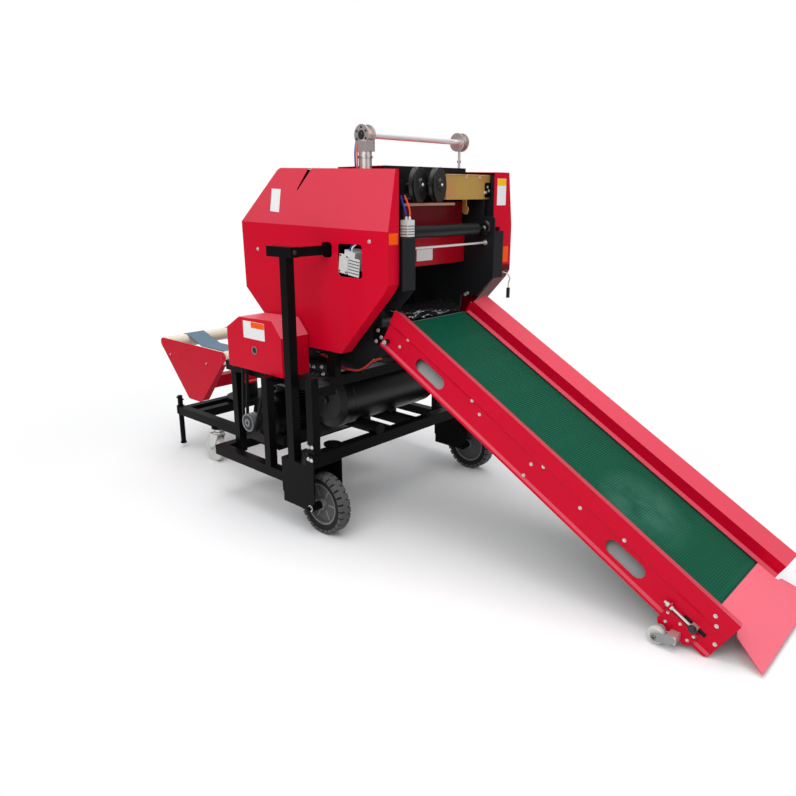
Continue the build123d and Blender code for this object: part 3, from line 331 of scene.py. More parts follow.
def finish(name, colour, roughness, metallic, edge, dust, bare, scale, depth, specular, paintedSheen=0.0, edgeRadius=0.0015,
           sheenColour=(1.0, 0.42, 0.52)):
    material = bpy.data.materials.new(name)
    material.use_nodes = True
    tree = material.node_tree
    bareColour = bare if isinstance(bare, tuple) else (bare, bare, bare)
    wear = nodeOf(tree, "ShaderNodeGroup", {"node_tree": wearGroup, "name": "wear"}, Colour=colour, Edge=edge,
                  Bare_Colour=bareColour, Dust=dust, Roughness=roughness, Sky=paintedSheen, Sky_Colour=sheenColour).outputs
    skin = nodeOf(tree, "ShaderNodeGroup", {"node_tree": skinGroup}, Scale=scale, Depth=depth, Edge_Radius=edgeRadius)
    for label, value in (("Base Color", wear["Colour"]), ("Roughness", wear["Roughness"]), ("Metallic", metallic),
                         ("Normal", skin.outputs["Normal"]), ("Specular IOR Level", specular)):
        plug(tree, tree.nodes["Principled BSDF"].inputs[label], value)
    return material


# Each finish: colour, roughness, metallic, edge wear, dust, bare colour (one number is a grey), scale and depth of
# the skin, specular, and where they differ from the plain ones painted sheen, edge radius and painted sheen colour.
finishValues = {
    "redGloss": ((0.60, 0.0010, 0.021), 0.34, 0, 0.05, 0.01, (0.30, 0.01, 0.01), 420, 0.035, 0.09, 0.24),
    "beamRed": ((0.60, 0.0010, 0.024), 0.34, 0, 0.05, 0.01, (0.30, 0.01, 0.01), 420, 0.035, 0.09, 0.15),
    # The lip is the same red paint, drawn paler and with more painted sheen: painted light where it faces up.
    "redLipPaintedSheen": ((0.72, 0.012, 0.035), 0.45, 0, 0.05, 0.01, (0.40, 0.02, 0.02), 420, 0.03, 0.12, 0.33),
    "panelPaint": ((0.30, 0.0010, 0.010), 0.26, 0, 0.05, 0.02, (0.25, 0.02, 0.02), 420, 0.035, 0.25),
    "blackGloss": ((0.0035, 0.0034, 0.0038), 0.30, 0, 0.10, 0.006, 0.03, 380, 0.04, 0.055),
    "tankGloss": ((0.0035, 0.0036, 0.0042), 0.36, 0, 0.05, 0.01, 0.03, 380, 0.03, 0.40),
    "blackSatin": ((0.011, 0.012, 0.014), 0.42, 0, 0.15, 0.02, 0.06, 240, 0.06, 0.14),
    "turnedSteel": ((0.50, 0.50, 0.50), 0.30, 1.0, 0.1, 0.08, 0.6, 700, 0.05, 0.5),
    "darkSteel": ((0.045, 0.045, 0.048), 0.38, 0.7, 0.2, 0.06, 0.30, 500, 0.06, 0.3),
    "castIron": ((0.24, 0.25, 0.26), 0.40, 0.5, 0.15, 0.08, 0.45, 700, 0.08, 0.3),
    "satinChrome": ((0.86, 0.84, 0.84), 0.34, 0.55, 0.05, 0.05, 0.8, 500, 0.05, 0.5),
    "zincPlate": ((0.68, 0.68, 0.66), 0.34, 0.75, 0.1, 0.08, 0.7, 160, 0.06, 0.5),
    "yellowZinc": ((0.50, 0.34, 0.10), 0.32, 0.45, 0.1, 0.03, (0.6, 0.5, 0.3), 120, 0.05, 0.3),
    "polishedSteel": ((0.62, 0.55, 0.53), 0.32, 0.8, 0.05, 0.05, 0.7, 500, 0.08, 0.5),
    "palePlate": ((0.30, 0.305, 0.31), 0.55, 0.2, 0.05, 0.05, 0.7, 90, 0.08, 0.3),
    "castAluminium": ((0.74, 0.74, 0.72), 0.42, 0.35, 0.15, 0.06, 0.8, 900, 0.10, 0.4),
    "beigeSteel": ((0.55, 0.38, 0.24), 0.45, 0.2, 0.1, 0.05, 0.3, 260, 0.05, 0.3),
    "blackRubber": ((0.009, 0.009, 0.009), 0.60, 0, 0.1, 0.05, 0.05, 900, 0.12, 0.15),
    "treadRubber": ((0.085, 0.085, 0.088), 0.66, 0, 0.2, 0.10, 0.09, 900, 0.12, 0.15),
    "greyRim": ((0.17, 0.17, 0.175), 0.42, 0, 0.25, 0.06, 0.35, 260, 0.08, 0.25),
    "paleWheel": ((0.60, 0.61, 0.57), 0.45, 0, 0.05, 0.12, 0.5, 260, 0.05, 0.3),
    # The cradle belts carry a blue-grey painted sheen on faces turned up.
    "greyBelt": ((0.060, 0.125, 0.18), 0.55, 0, 0.1, 0.06, (0.2, 0.22, 0.24), 700, 0.10, 0.12, 0.12, 0.0015,
                 (0.4, 0.5, 0.6)),
    "greenBelt": ((0.0032, 0.108, 0.058), 0.42, 0, 0, 0.01, 0.3, 1400, 0.10, 0.08),
    "creamRoller": ((0.74, 0.68, 0.54), 0.36, 0, 0.05, 0.06, (0.6, 0.6, 0.55), 260, 0.05, 0.25),
    "rollerBlack": ((0.005, 0.007, 0.007), 0.34, 0, 0.1, 0.02, 0.3, 260, 0.08, 0.22),
    "pulleyBlack": ((0.007, 0.007, 0.008), 0.26, 0, 0.15, 0.03, 0.08, 260, 0.06, 0.35),
    "clearFilm": ((0.012, 0.012, 0.013), 0.14, 0, 0, 0, 0.3, 30, 0.3, 0.9),
    "whiteSticker": ((0.80, 0.80, 0.80), 0.45, 0, 0, 0.04, 0.3, 260, 0.02, 0.2, 0, 0.0002),
    "orangeSticker": ((0.90, 0.10, 0.003), 0.45, 0, 0, 0.03, 0.3, 260, 0.02, 0.1, 0, 0.0002),
    "yellowSticker": ((0.88, 0.50, 0.01), 0.45, 0, 0, 0.03, 0.3, 260, 0.02, 0.1, 0, 0.0002),
    "purpleHose": ((0.075, 0.018, 0.10), 0.38, 0, 0, 0.03, 0.3, 260, 0.03, 0.25, 0, 0.0003),
    "orangeHose": ((0.42, 0.035, 0.012), 0.38, 0, 0, 0.03, 0.3, 260, 0.03, 0.25, 0, 0.0003),
    "blueTube": ((0.015, 0.03, 0.30), 0.32, 0, 0, 0.02, 0.3, 260, 0.02, 0.25, 0, 0.0003),
    "orangeTube": ((0.70, 0.06, 0.02), 0.32, 0, 0, 0.02, 0.3, 260, 0.02, 0.25, 0, 0.0003),
    "paleCord": ((0.62, 0.46, 0.42), 0.6, 0, 0, 0.03, 0.3, 1500, 0.15, 0.2, 0, 0.0003),
}
# The turntable's post on the cradle is black, and the far cover's lower inside lies in the shade of the machine.
zoneValues = {
    "cradlePaint": {"reach": 0.20, "top": 0.352, "colour": (0.006, 0.006, 0.006)},
    "farCoverPaint": {"reach": 0.4185, "top": 1.088, "colour": (0.115, 0.004, 0.009)},
}
for name in zoneValues:
    finishValues[name] = finishValues["redGloss"]
finishes = {name: finish(name, *row) for name, row in finishValues.items()}


def dressZone(name, values):
    tree = finishes[name].node_tree
    wear = tree.nodes["wear"].inputs
    axes = objectAxes(tree)
    within = mathNode(tree, "LESS_THAN", mathNode(tree, "ABSOLUTE", axes["Y"]), values["reach"])
    zone = times(tree, within, mathNode(tree, "LESS_THAN", axes["Z"], values["top"]))
    plug(tree, wear["Sky"], times(tree, minus(tree, 1.0, zone), wear["Sky"].default_value))
    plug(tree, wear["Colour"], mixColour(tree, zone, finishValues[name][0], values["colour"]))


# Zinc passivated yellow has faint bands of red and green.
zincValues = {"yellow": (0.62, 0.36, 0.10), "red": (0.70, 0.28, 0.12), "green": (0.50, 0.42, 0.08),
              "bandNoise": (9.0, 3.0), "bandFrom": 0.45, "bandGain": 3.0, "greenNoise": (5.0, 2.0), "greenShare": 0.35}


def zincColour(tree, values):
    where = objectCoordinates(tree)
    band = rise(tree, noiseNode(tree, where, *values["bandNoise"]), values["bandFrom"], values["bandGain"])
    tint = mixColour(tree, band, values["yellow"], values["red"])
    share = times(tree, noiseNode(tree, where, *values["greenNoise"]), values["greenShare"])
    return mixColour(tree, share, tint, values["green"])


# The belt is green outside, woven with painted shade in the grooves of the weave, with one rubbed patch, and grey cloth
# inside.
beltValues = {"groove": (0.0014, 0.050, 0.028), "rubbed": (0.07, 0.20, 0.15), "cloth": (0.20, 0.21, 0.22),
              "innerOff": (-0.1512, -0.0875), "weave": (0.0085, 0.0075), "patch": (1.16, -0.02),
              "patchReach": (0.20, 0.19), "rubNoise": (6.0, 6.0, 0.6), "rubFrom": 0.30, "rubGain": 2.6, "rubShare": 0.8,
              "acrossShare": 0.45, "grooveShade": 0.90}


def beltColour(tree, values):
    spot = onConveyor(tree)
    low, high = values["innerOff"]
    inside = times(tree, mathNode(tree, "GREATER_THAN", spot["Off"], low),
                   mathNode(tree, "LESS_THAN", spot["Off"], high))
    apart = [times(tree, minus(tree, spot[label], middle), 1 / reach)
             for label, middle, reach in zip(("Down", "Across"), values["patch"], values["patchReach"])]
    patch = minus(tree, 1.0, plus(tree, *(times(tree, far, far) for far in apart)), True)
    rub = rise(tree, noiseNode(tree, objectCoordinates(tree), *values["rubNoise"]), values["rubFrom"],
               values["rubGain"])
    rubbed = times(tree, times(tree, rub, patch), values["rubShare"], True)
    # Dark lines across and along the belt are painted shade in the weave's grooves.
    down, across = (mathNode(tree, "SINE", times(tree, spot[label], 2 * math.pi / pitch))
                    for label, pitch in zip(("Down", "Across"), values["weave"]))
    hollow = times(tree, mathNode(tree, "MAXIMUM", down, times(tree, across, values["acrossShare"])),
                   values["grooveShade"], True)
    woven = mixColour(tree, hollow, finishValues["greenBelt"][0], values["groove"])
    return mixColour(tree, inside, mixColour(tree, rubbed, woven, values["rubbed"]), values["cloth"])


# The roof box shows a dark front to the mouth, the rest of the panels are red with painted light and shade by height:
# full red on the roof, a painted shade in the band below it, and a darker red lower down.
panelValues = {"frontX": 115, "darkBelow": 1.0, "upperFrom": 1.266, "darkFrom": 1.372, "roofFrom": 1.5,
               "dark": (0.007, 0.007, 0.008), "lower": (0.42, 0.0012, 0.012), "upper": (0.16, 0.0008, 0.006),
               "roof": (0.60, 0.0015, 0.013)}


def panelColour(tree, values):
    axes = objectAxes(tree)
    front = mathNode(tree, "GREATER_THAN", axes["X"], place(values["frontX"], 0, 0).x)
    high, upper, roof = (mathNode(tree, "GREATER_THAN", axes["Z"], values[key])
                         for key in ("darkFrom", "upperFrom", "roofFrom"))
    low = mathNode(tree, "LESS_THAN", axes["Z"], values["darkBelow"])
    dark = plus(tree, times(tree, front, high), low, True)
    shade = mixColour(tree, times(tree, upper, minus(tree, 1.0, high)), values["lower"], values["upper"])
    return mixColour(tree, dark, mixColour(tree, roof, shade, values["roof"]), values["dark"])


# The cream rollers are red where they pass through the cradle's walls.
rollerPaintValues = {"redFrom": 0.340}


def rollerColour(tree, values):
    end = mathNode(tree, "GREATER_THAN", mathNode(tree, "ABSOLUTE", objectAxes(tree)["Y"]), values["redFrom"])
    return mixColour(tree, end, finishValues["creamRoller"][0], finishValues["redGloss"][0])


# Clear film is dark gloss whose creases carry painted highlights, pale streaks below a slanting line and fewer to the
# far side.
filmPaintValues = {"stretch": (34.0, 9.0, 34.0), "crease": (0.80, 0.82, 0.84), "lineSlant": 0.195, "lineStart": -0.0614,
                   "foldNoise": (1.0, 3.0, 0.5), "foldAt": 0.52, "creaseHalf": 0.022, "creaseGain": 46.0,
                   "fewerTo": 0.24, "fewerGain": 3.0, "lineGain": 110.0}


def filmColour(tree, values):
    stretched = nodeOf(tree, "ShaderNodeMapping", Vector=objectCoordinates(tree), Scale=values["stretch"])
    fold = noiseNode(tree, stretched.outputs[0], *values["foldNoise"])
    away = mathNode(tree, "ABSOLUTE", minus(tree, fold, values["foldAt"]))
    crease = rise(tree, values["creaseHalf"], away, values["creaseGain"])
    spot = onConveyor(tree)
    fewer = rise(tree, values["fewerTo"], spot["Across"], values["fewerGain"])
    line = mathNode(tree, "MULTIPLY_ADD", spot["Across"], values["lineSlant"])
    line.node.inputs[2].default_value = values["lineStart"]
    below = rise(tree, spot["Down"], line, values["lineGain"])
    amount = times(tree, crease, times(tree, fewer, below), True)
    # The pale crease colour is a painted highlight.
    return mixColour(tree, amount, finishValues["clearFilm"][0], values["crease"])


for name, values in zoneValues.items():
    dressZone(name, values)
for name, colourOf, values in (("yellowZinc", zincColour, zincValues), ("greenBelt", beltColour, beltValues),
                               ("panelPaint", panelColour, panelValues), ("clearFilm", filmColour, filmPaintValues),
                               ("creamRoller", rollerColour, rollerPaintValues)):
    tree = finishes[name].node_tree
    plug(tree, tree.nodes["wear"].inputs["Colour"], colourOf(tree, values))

nodeFinish = {
    "redGloss": "cover_left belt_guard",
    "beamRed": "conveyor_beam_left conveyor_beam_right caster_brackets",
    "redLipPaintedSheen": "lip_plate",
    "farCoverPaint": "cover_right",
    "cradlePaint": "cradle",
    "panelPaint": "inner_panels",
    "blackGloss": "floor_rails rear_frame upper_frame front_frame wheel_bracket_left wheel_bracket_right "
                  "push_handle wrapper_frame jack motor",
    "tankGloss": "air_tank",
    "blackSatin": "chamber_wall_left chamber_wall_right gate_shell",
    "turnedSteel": "gate_rollers tail_drum return_rollers",
    "satinChrome": "steel_rods",
    "polishedSteel": "lift_columns",
    "castIron": "motor_pulley",
    "darkSteel": "upper_pulley conveyor_bed head_drum chamber_rollers",
    "rollerBlack": "feed_roller",
    "pulleyBlack": "guide_pulley_near guide_pulley_far pull_plug",
    "blackRubber": "front_tyre_left front_tyre_right drive_belts pull_cord hose_purple hose_orange",
    "paleWheel": "rear_caster_wheel_left rear_caster_wheel_right conveyor_caster_wheel_left "
                 "conveyor_caster_wheel_right",
    "greyRim": "front_rim_left front_rim_right",
    "zincPlate": "rear_caster_fork_left rear_caster_fork_right conveyor_caster_fork_left conveyor_caster_fork_right "
                 "tensioners",
    "castAluminium": "compact_cylinders",
    "yellowZinc": "net_tray",
    "greenBelt": "conveyor_belt",
    "greyBelt": "cradle_belts",
    "creamRoller": "cradle_roller_front cradle_roller_rear",
}
for label, names in nodeFinish.items():
    for name in names.split():
        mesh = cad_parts[name].data
        mesh.materials.clear()
        mesh.materials.append(finishes[label])
print("stage: finishes")


# Mesh helpers
def addPiece(name, mesh, label, body="root", smooth=35):
    mesh.materials.clear()
    mesh.materials.append(finishes[label])
    if smooth:
        mesh.shade_smooth()
        mesh.set_sharp_from_angle(angle=math.radians(smooth))
    piece = newObject(name, mesh)
    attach(piece, body)
    return piece


def meshOf(name, work, outward=True):
    if outward:
        bmesh.ops.recalc_face_normals(work, faces=work.faces)
    mesh = bpy.data.meshes.new(name)
    work.to_mesh(mesh)
    work.free()
    return mesh


# Turns a profile of (radius, distance along the axis) pairs into a closed round solid.
def lathe(work, profile, centre, axis, segments):
    axis = Vector(axis).normalized()
    side = axis.orthogonal().normalized()
    other = axis.cross(side)
    rings = []
    for radius, along in profile:
        base = place(*centre) + axis * (along / 1000)
        if radius < 0.01:
            rings.append([work.verts.new(base)])
            continue
        rings.append([work.verts.new(base + (side * math.cos(a) + other * math.sin(a)) * (radius / 1000))
                      for a in (2 * math.pi * k / segments for k in range(segments))])
    for first, second in zip(rings, rings[1:]):
        for k in range(segments):
            ring = [first[k % len(first)], first[(k + 1) % len(first)],
                    second[(k + 1) % len(second)], second[k % len(second)]]
            corners = [v for i, v in enumerate(ring) if v not in ring[:i]]
            if len(corners) > 2:
                work.faces.new(corners)
    for ring in (rings[0], rings[-1]):
        if len(ring) > 1:
            work.faces.new(ring)


def prism(work, outline, depth):
    depth = Vector(depth) / 1000
    lower = [work.verts.new(point) for point in outline]
    upper = [work.verts.new(point + depth) for point in outline]
    work.faces.new(lower)
    work.faces.new(upper)
    for k in range(len(outline)):
        after = (k + 1) % len(outline)
        work.faces.new((lower[k], lower[after], upper[after], upper[k]))


# Rounded rectangle round a centre, in the plane of two directions
def rounded(centre, right, up, width, height, corner):
    steps = 5
    right, up = Vector(right).normalized(), Vector(up).normalized()
    points = []
    for sx, sy, first in ((1, 1, 0), (-1, 1, 90), (-1, -1, 180), (1, -1, 270)):
        for k in range(steps + 1):
            a = math.radians(first + 90 * k / steps)
            x = sx * (width / 2 - corner) + corner * math.cos(a)
            y = sy * (height / 2 - corner) + corner * math.sin(a)
            points.append(centre + right * (x / 1000) + up * (y / 1000))
    return points


# One piece of several turned forms, each a profile, a centre, an axis and a number of sides
def roundPiece(name, label, body, *forms):
    work = bmesh.new()
    for form in forms:
        lathe(work, *form)
    return addPiece(name, meshOf(name, work), label, body)


# One piece of several straight forms, each an outline and a depth
def flatPiece(name, label, body, *forms, smooth=35):
    work = bmesh.new()
    for outline, depth in forms:
        prism(work, outline, depth)
    return addPiece(name, meshOf(name, work), label, body, smooth)


def platePiece(name, label, centre, right, up, width, height, thick, corner):
    depth = Vector(right).normalized().cross(Vector(up).normalized()) * thick
    flatPiece(name, label, "root", (rounded(place(*centre), right, up, width, height, corner), depth), smooth=30)


def smoothLine(name, points, resolution):
    curve = bpy.data.curves.new(name, "CURVE")
    curve.dimensions = "3D"
    curve.resolution_u = resolution
    spline = curve.splines.new("NURBS")
    spline.points.add(len(points) - 1)
    for point, spot in zip(spline.points, points):
        point.co = (*spot, 1)
    spline.order_u = 3
    spline.use_endpoint_u = True
    return curve


def thicken(curve, radius, resolution):
    curve.bevel_depth = radius / 1000
    curve.bevel_resolution = resolution
    curve.use_fill_caps = True


def meshOfCurve(name, curve):
    holder = bpy.data.objects.new(name, curve)
    mesh = bpy.data.meshes.new_from_object(holder)
    bpy.data.objects.remove(holder)
    return mesh


# Rigid bent pipe along smooth points
def pipePiece(name, label, body, points, radius, smooth=35):
    curve = smoothLine(name, points, 6)
    thicken(curve, radius, 3)
    mesh = meshOfCurve(name, curve)
    bpy.data.curves.remove(curve)
    addPiece(name, mesh, label, body, smooth)


# Geometry Nodes trees
def newTree(name, inputs):
    return newGroup(name, "GeometryNodeTree", [("Geometry", "Geometry"), *inputs, ("Material", "Material")],
                    [("Geometry", "Geometry")])


def placeCopies(tree, start, end, points, shape, turn):
    placed = nodeOf(tree, "GeometryNodeInstanceOnPoints", Points=points, Instance=shape, Rotation=turn)
    real = nodeOf(tree, "GeometryNodeRealizeInstances", Geometry=placed.outputs[0])
    coat = nodeOf(tree, "GeometryNodeSetMaterial", Geometry=real.outputs[0], Material=start["Material"])
    plug(tree, end["Geometry"], coat.outputs[0])
    return tree


# Heads on washers, one on each point, facing along the point's "aim"
def makeBoltTree():
    tree, start, end = newTree("boltHeads", [
        ("Head Radius", "Float", 0.006), ("Head Height", "Float", 0.004), ("Washer Radius", "Float", 0.009),
        ("Washer Height", "Float", 0.0015), ("Sides", "Int", 6)])
    washer = nodeOf(tree, "GeometryNodeMeshCylinder", Vertices=20, Radius=start["Washer Radius"],
                    Depth=start["Washer Height"])
    head = nodeOf(tree, "GeometryNodeMeshCone", Vertices=start["Sides"], Radius_Bottom=start["Head Radius"],
                  Radius_Top=times(tree, start["Head Radius"], 0.82), Depth=start["Head Height"])
    raised = nodeOf(tree, "ShaderNodeCombineXYZ", Z=times(tree, start["Washer Height"], 0.5))
    upper = nodeOf(tree, "GeometryNodeTransform", Geometry=head.outputs[0], Translation=raised.outputs[0])
    bolt = nodeOf(tree, "GeometryNodeJoinGeometry")
    for form in (washer, upper):
        tree.links.new(form.outputs[0], bolt.inputs[0])
    aim = nodeOf(tree, "GeometryNodeInputNamedAttribute", {"data_type": "FLOAT_VECTOR"}, Name="aim")
    turn = nodeOf(tree, "FunctionNodeAlignRotationToVector", {"axis": "Z"}, Vector=aim.outputs["Attribute"])
    spots = nodeOf(tree, "GeometryNodeMeshToPoints", Mesh=start["Geometry"])
    return placeCopies(tree, start, end, spots.outputs[0], bolt.outputs[0], turn.outputs[0])


# Equal bars in a straight row
def makeRowTree():
    tree, start, end = newTree("barRow", [
        ("Count", "Int", 10), ("Start", "Vector", (0, 0, 0)), ("Step", "Vector", (0, 0, 0.01)),
        ("Bar Size", "Vector", (0.01, 0.01, 0.01)), ("Turn", "Vector", (0, 0, 0))])
    line = nodeOf(tree, "GeometryNodeMeshLine", Count=start["Count"], Start_Location=start["Start"],
                  Offset=start["Step"])
    bar = nodeOf(tree, "GeometryNodeMeshCube", Size=start["Bar Size"])
    return placeCopies(tree, start, end, line.outputs[0], bar.outputs[0], start["Turn"])


# Equal bars round an axis along Y, such as tread blocks and fins
def makeAroundTree():
    tree, start, end = newTree("barsAround", [
        ("Count", "Int", 12), ("Centre", "Vector", (0, 0, 0)), ("Radius", "Float", 0.1),
        ("Bar Size", "Vector", (0.01, 0.01, 0.01)), ("Phase", "Float", 0.0)])
    line = nodeOf(tree, "GeometryNodeMeshLine", Count=start["Count"], Start_Location=start["Centre"],
                  Offset=(0, 0, 0))
    bar = nodeOf(tree, "GeometryNodeMeshCube", Size=start["Bar Size"])
    out = nodeOf(tree, "ShaderNodeCombineXYZ", Z=start["Radius"])
    moved = nodeOf(tree, "GeometryNodeTransform", Geometry=bar.outputs[0], Translation=out.outputs[0])
    part = mathNode(tree, "DIVIDE", nodeOf(tree, "GeometryNodeInputIndex").outputs[0], start["Count"])
    angle = mathNode(tree, "MULTIPLY_ADD", part, 2 * math.pi)
    plug(tree, angle.node.inputs[2], start["Phase"])
    turn = nodeOf(tree, "ShaderNodeCombineXYZ", Y=angle)
    return placeCopies(tree, start, end, line.outputs[0], moved.outputs[0], turn.outputs[0])


boltTree, rowTree, aroundTree = makeBoltTree(), makeRowTree(), makeAroundTree()


# Runs a tree once with these inputs and gives its result as a plain mesh.
def grow(name, tree, label, values, points=()):
    base = bpy.data.meshes.new(name)
    if points:
        base.from_pydata([spot for spot, aim in points], [], [])
        aims = base.attributes.new("aim", "FLOAT_VECTOR", "POINT")
        aims.data.foreach_set("vector", [c for spot, aim in points for c in aim])
    holder = newObject(name + "Base", base)
    modifier = holder.modifiers.new("grow", "NODES")
    modifier.node_group = tree
    sockets = {item.name: item.identifier for item in tree.interface.items_tree if item.in_out == "INPUT"}
    for key, value in {**values, "Material": finishes[label]}.items():
        modifier[sockets[key]] = value
    holder.update_tag()
    result = bpy.data.meshes.new_from_object(holder.evaluated_get(bpy.context.evaluated_depsgraph_get()))
    result.name = name
    holder.modifiers.remove(modifier)
    bpy.data.objects.remove(holder)
    return result


def barsAround(name, label, count, centre, radius, size, phase=0.0):
    return grow(name, aroundTree, label, {"Count": count, "Centre": tuple(place(*centre)), "Radius": radius / 1000,
                                          "Bar Size": tuple(c / 1000 for c in size), "Phase": phase})


# Bolts, nuts or rivets: size is head radius, head height and washer radius.
def boltPiece(name, label, body, points, size, sides=6):
    radius, height, washer = (c / 1000 for c in size)
    values = {"Head Radius": radius, "Head Height": height, "Washer Radius": washer, "Washer Height": 0.0016,
              "Sides": sides}
    lifted = [(spot + Vector(aim) * 0.0006, tuple(aim)) for spot, aim in points]
    addPiece(name, grow(name, boltTree, label, values, lifted), label, body, 40)


def bothSides(points):
    return points + [(Vector((spot.x, -spot.y, spot.z)), (aim[0], -aim[1], aim[2])) for spot, aim in points]


# Hoses under the near cover and the pull cord at the far one
hoseValues = {"x": (-240, -205, -140, -60, 22, 105, 148), "z": (709, 709, 678, 664, 676, 745, 745),
              "rows": {"hose_purple": (-288, "purpleHose"), "hose_orange": (-302, "orangeHose")}, "diameter": 9.0}
pullCordValues = {"points": ((270, 342, 1058), (302, 342, 1058), (304, 368, 1030), (292, 372, 1010), (292, 372, 986)),
                  "diameter": 5.0}


def splineLength(curve):
    mesh = meshOfCurve("measure", curve)
    spots = [vertex.co.copy() for vertex in mesh.vertices]
    bpy.data.meshes.remove(mesh)
    return sum((b - a).length for a, b in zip(spots, spots[1:]))


def cordCurve(name, points, diameter, label, body):
    curve = smoothLine(name, points, 12)
    length = splineLength(curve)
    thicken(curve, diameter / 2, 4)
    curve.materials.append(finishes[label])
    piece = newObject(name, curve)
    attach(piece, body)
    print("cord", name, "length", round(length, 4))
    return piece, length


for node, (y, label) in hoseValues["rows"].items():
    route = [place(x, y, z) for x, z in zip(hoseValues["x"], hoseValues["z"])]
    hose, length = cordCurve(node.replace("_", "-") + "-line", route, hoseValues["diameter"], label, "root")
    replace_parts(hose, node)
route = places(pullCordValues["points"])
cord, length = cordCurve("pull-cord-line", route, pullCordValues["diameter"], "paleCord", "root")
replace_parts(cord, "pull_cord")
print("stage: hoses and cord")


# Front wheels: a round carcass with a middle rib, blocks along both shoulders, axle nut and rim ribs
tyreValues = {"radius": 132.0, "track": 514.0, "half": 29.0, "blocks": 26, "groove": 6.8, "rib": 9.0, "rim": 92.0,
              "sides": 72, "blockShare": 0.72, "shoulderShare": 0.70, "shoulder": (5.8, 13.0), "nutOut": 81.2,
              "nut": ((11, 0.3), (11, 4.8), (8, 6.8), (0, 6.8)), "washer": ((14, -1), (14, 0.6), (0, 0.6)),
              "ribs": 6, "ribOut": 7.8, "ribRadius": 58.0, "ribSize": (7.5, 6.0, 52.0)}


def makeWheel(side, sign, values):
    r, half, rib, rim, groove, count = (values[key] for key in ("radius", "half", "rib", "rim", "groove", "blocks"))
    y, floor, body, title = sign * values["track"], r - groove, "front_wheel_" + side, side.capitalize()
    nearHalf = [(rim, 4 - half), (rim + 8, 1.5 - half), (r - 24, -half), (r - 16, 1.5 - half),
                (floor - 1.5, 5 - half), (floor, 9 - half), (floor, -rib), (r - 0.8, -rib)]
    work = bmesh.new()
    lathe(work, nearHalf + [(radius, -along) for radius, along in nearHalf[::-1]] + nearHalf[:1], (0, y, r), farAim,
          values["sides"])
    bmesh.ops.delete(work, geom=[f for f in work.faces if len(f.verts) > 4], context="FACES_ONLY")
    bmesh.ops.remove_doubles(work, verts=work.verts, dist=0.00001)
    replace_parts(addPiece("frontTyre" + title, meshOf("tyre", work), "blackRubber", body, 30), "front_tyre_" + side)
    work = bmesh.new()
    lathe(work, [(floor + 1, -rib - 1), (r - 0.6, -rib - 1), (r - 0.3, 0), (r - 0.6, rib + 1), (floor + 1, rib + 1)],
          (0, y, r), farAim, values["sides"])
    bmesh.ops.recalc_face_normals(work, faces=work.faces)
    pitch = 2 * math.pi * r / count
    wide = half - 2.5 - rib + 1
    rows = ((rib - 1 + wide / 2, r - 1.1 - groove / 2, (pitch * values["blockShare"], wide, groove + 0.4)),
            (half - 3.4, r - 11.5, (pitch * values["shoulderShare"], *values["shoulder"])))
    for way, phase in ((-1, 0.0), (1, math.pi / count)):
        for out, radius, size in rows:
            work.from_mesh(barsAround("treadRow", "treadRubber", count, (0, y + way * out, r), radius, size, phase))
    addPiece("tread" + title, meshOf("tread", work, False), "treadRubber", body, 30)
    nutPlace = (0, y + sign * values["nutOut"], r)
    roundPiece("axleNut" + title, "zincPlate", "root", (values["nut"], nutPlace, (0, sign, 0), 6),
               (values["washer"], nutPlace, (0, sign, 0), 24))
    ribs = barsAround("rimRibs", "greyRim", values["ribs"], (0, y + sign * values["ribOut"], r), values["ribRadius"],
                      values["ribSize"], math.pi / values["ribs"])
    addPiece("rimRibs" + title, ribs, "greyRim", body)


for side, sign in leftAndRight:
    makeWheel(side, sign, tyreValues)
print("stage: wheels")


# Belt: ribs across it and dark skirts at its edges
ribValues = {"start": 12.0, "end": 1532.0, "pitch": 9.0, "half": 211.0, "height": 1.1, "width": 3.2, "top": -85.0,
             "sunk": 0.15}
skirtValues = {"ends": (6, 1560), "edges": (206, 217), "level": -83.4, "thick": 1.2}


def makeBelt(values, skirt):
    first = onSlope(values["start"], 0, values["top"] + values["height"] / 2 - values["sunk"])
    mesh = grow("beltRibs", rowTree, "greenBelt", {
        "Count": int((values["end"] - values["start"]) / values["pitch"]), "Start": tuple(first),
        "Step": tuple(downSlope * (values["pitch"] / 1000)),
        "Bar Size": (values["width"] / 1000, 2 * values["half"] / 1000, values["height"] / 1000),
        "Turn": (0, math.radians(slopeValues["angle"]), 0)})
    addPiece("beltRibs", mesh, "greenBelt", "conveyor", 0)
    (s0, s1), (y0, y1) = skirt["ends"], skirt["edges"]
    for side, sign in nearAndFar:
        outline = [onSlope(s, sign * y, skirt["level"]) for s, y in ((s0, y0), (s1, y0), (s1, y1), (s0, y1))]
        flatPiece("beltSkirt" + side, "blackRubber", "conveyor", (outline, offSlope * skirt["thick"]))


makeBelt(ribValues, skirtValues)

# Bolts of the conveyor: webs, with the distance out of each, brackets and the tail drum's shaft
webBoltPlaces = ((113, 300.5, -64), (89, 297, -118), (484, 300.5, -67), (536, 297, -92), (805, 297, -96),
                 (848, 300.5, -66), (805, 297, -154), (1033, 297, -89), (1210, 303, -58), (1552, 303, -33),
                 (1574, 303, -58), (1608, 297, -116))
bracketBoltPlaces = ((1452, 308, -143), (1500, 308, -143), (1465, 308, -176), (1547, 308, -170), (1552, 308, -143))
drumNutPlaces = ((1534, 317, -119.3),)
for name, label, body, spots, size, sides in (
        ("webBolts", "zincPlate", "conveyor", webBoltPlaces, (4.8, 4.0, 6.8), 16),
        ("bracketBolts", "zincPlate", "conveyor", bracketBoltPlaces, (4.0, 3.4, 5.4), 16),
        ("drumNuts", "darkSteel", "tail_drum_body", drumNutPlaces, (12.5, 6.0, 15.0), 6)):
    boltPiece(name, label, body, bothSides([(onSlope(s, -y, n), nearAim) for s, y, n in spots]), size, sides)

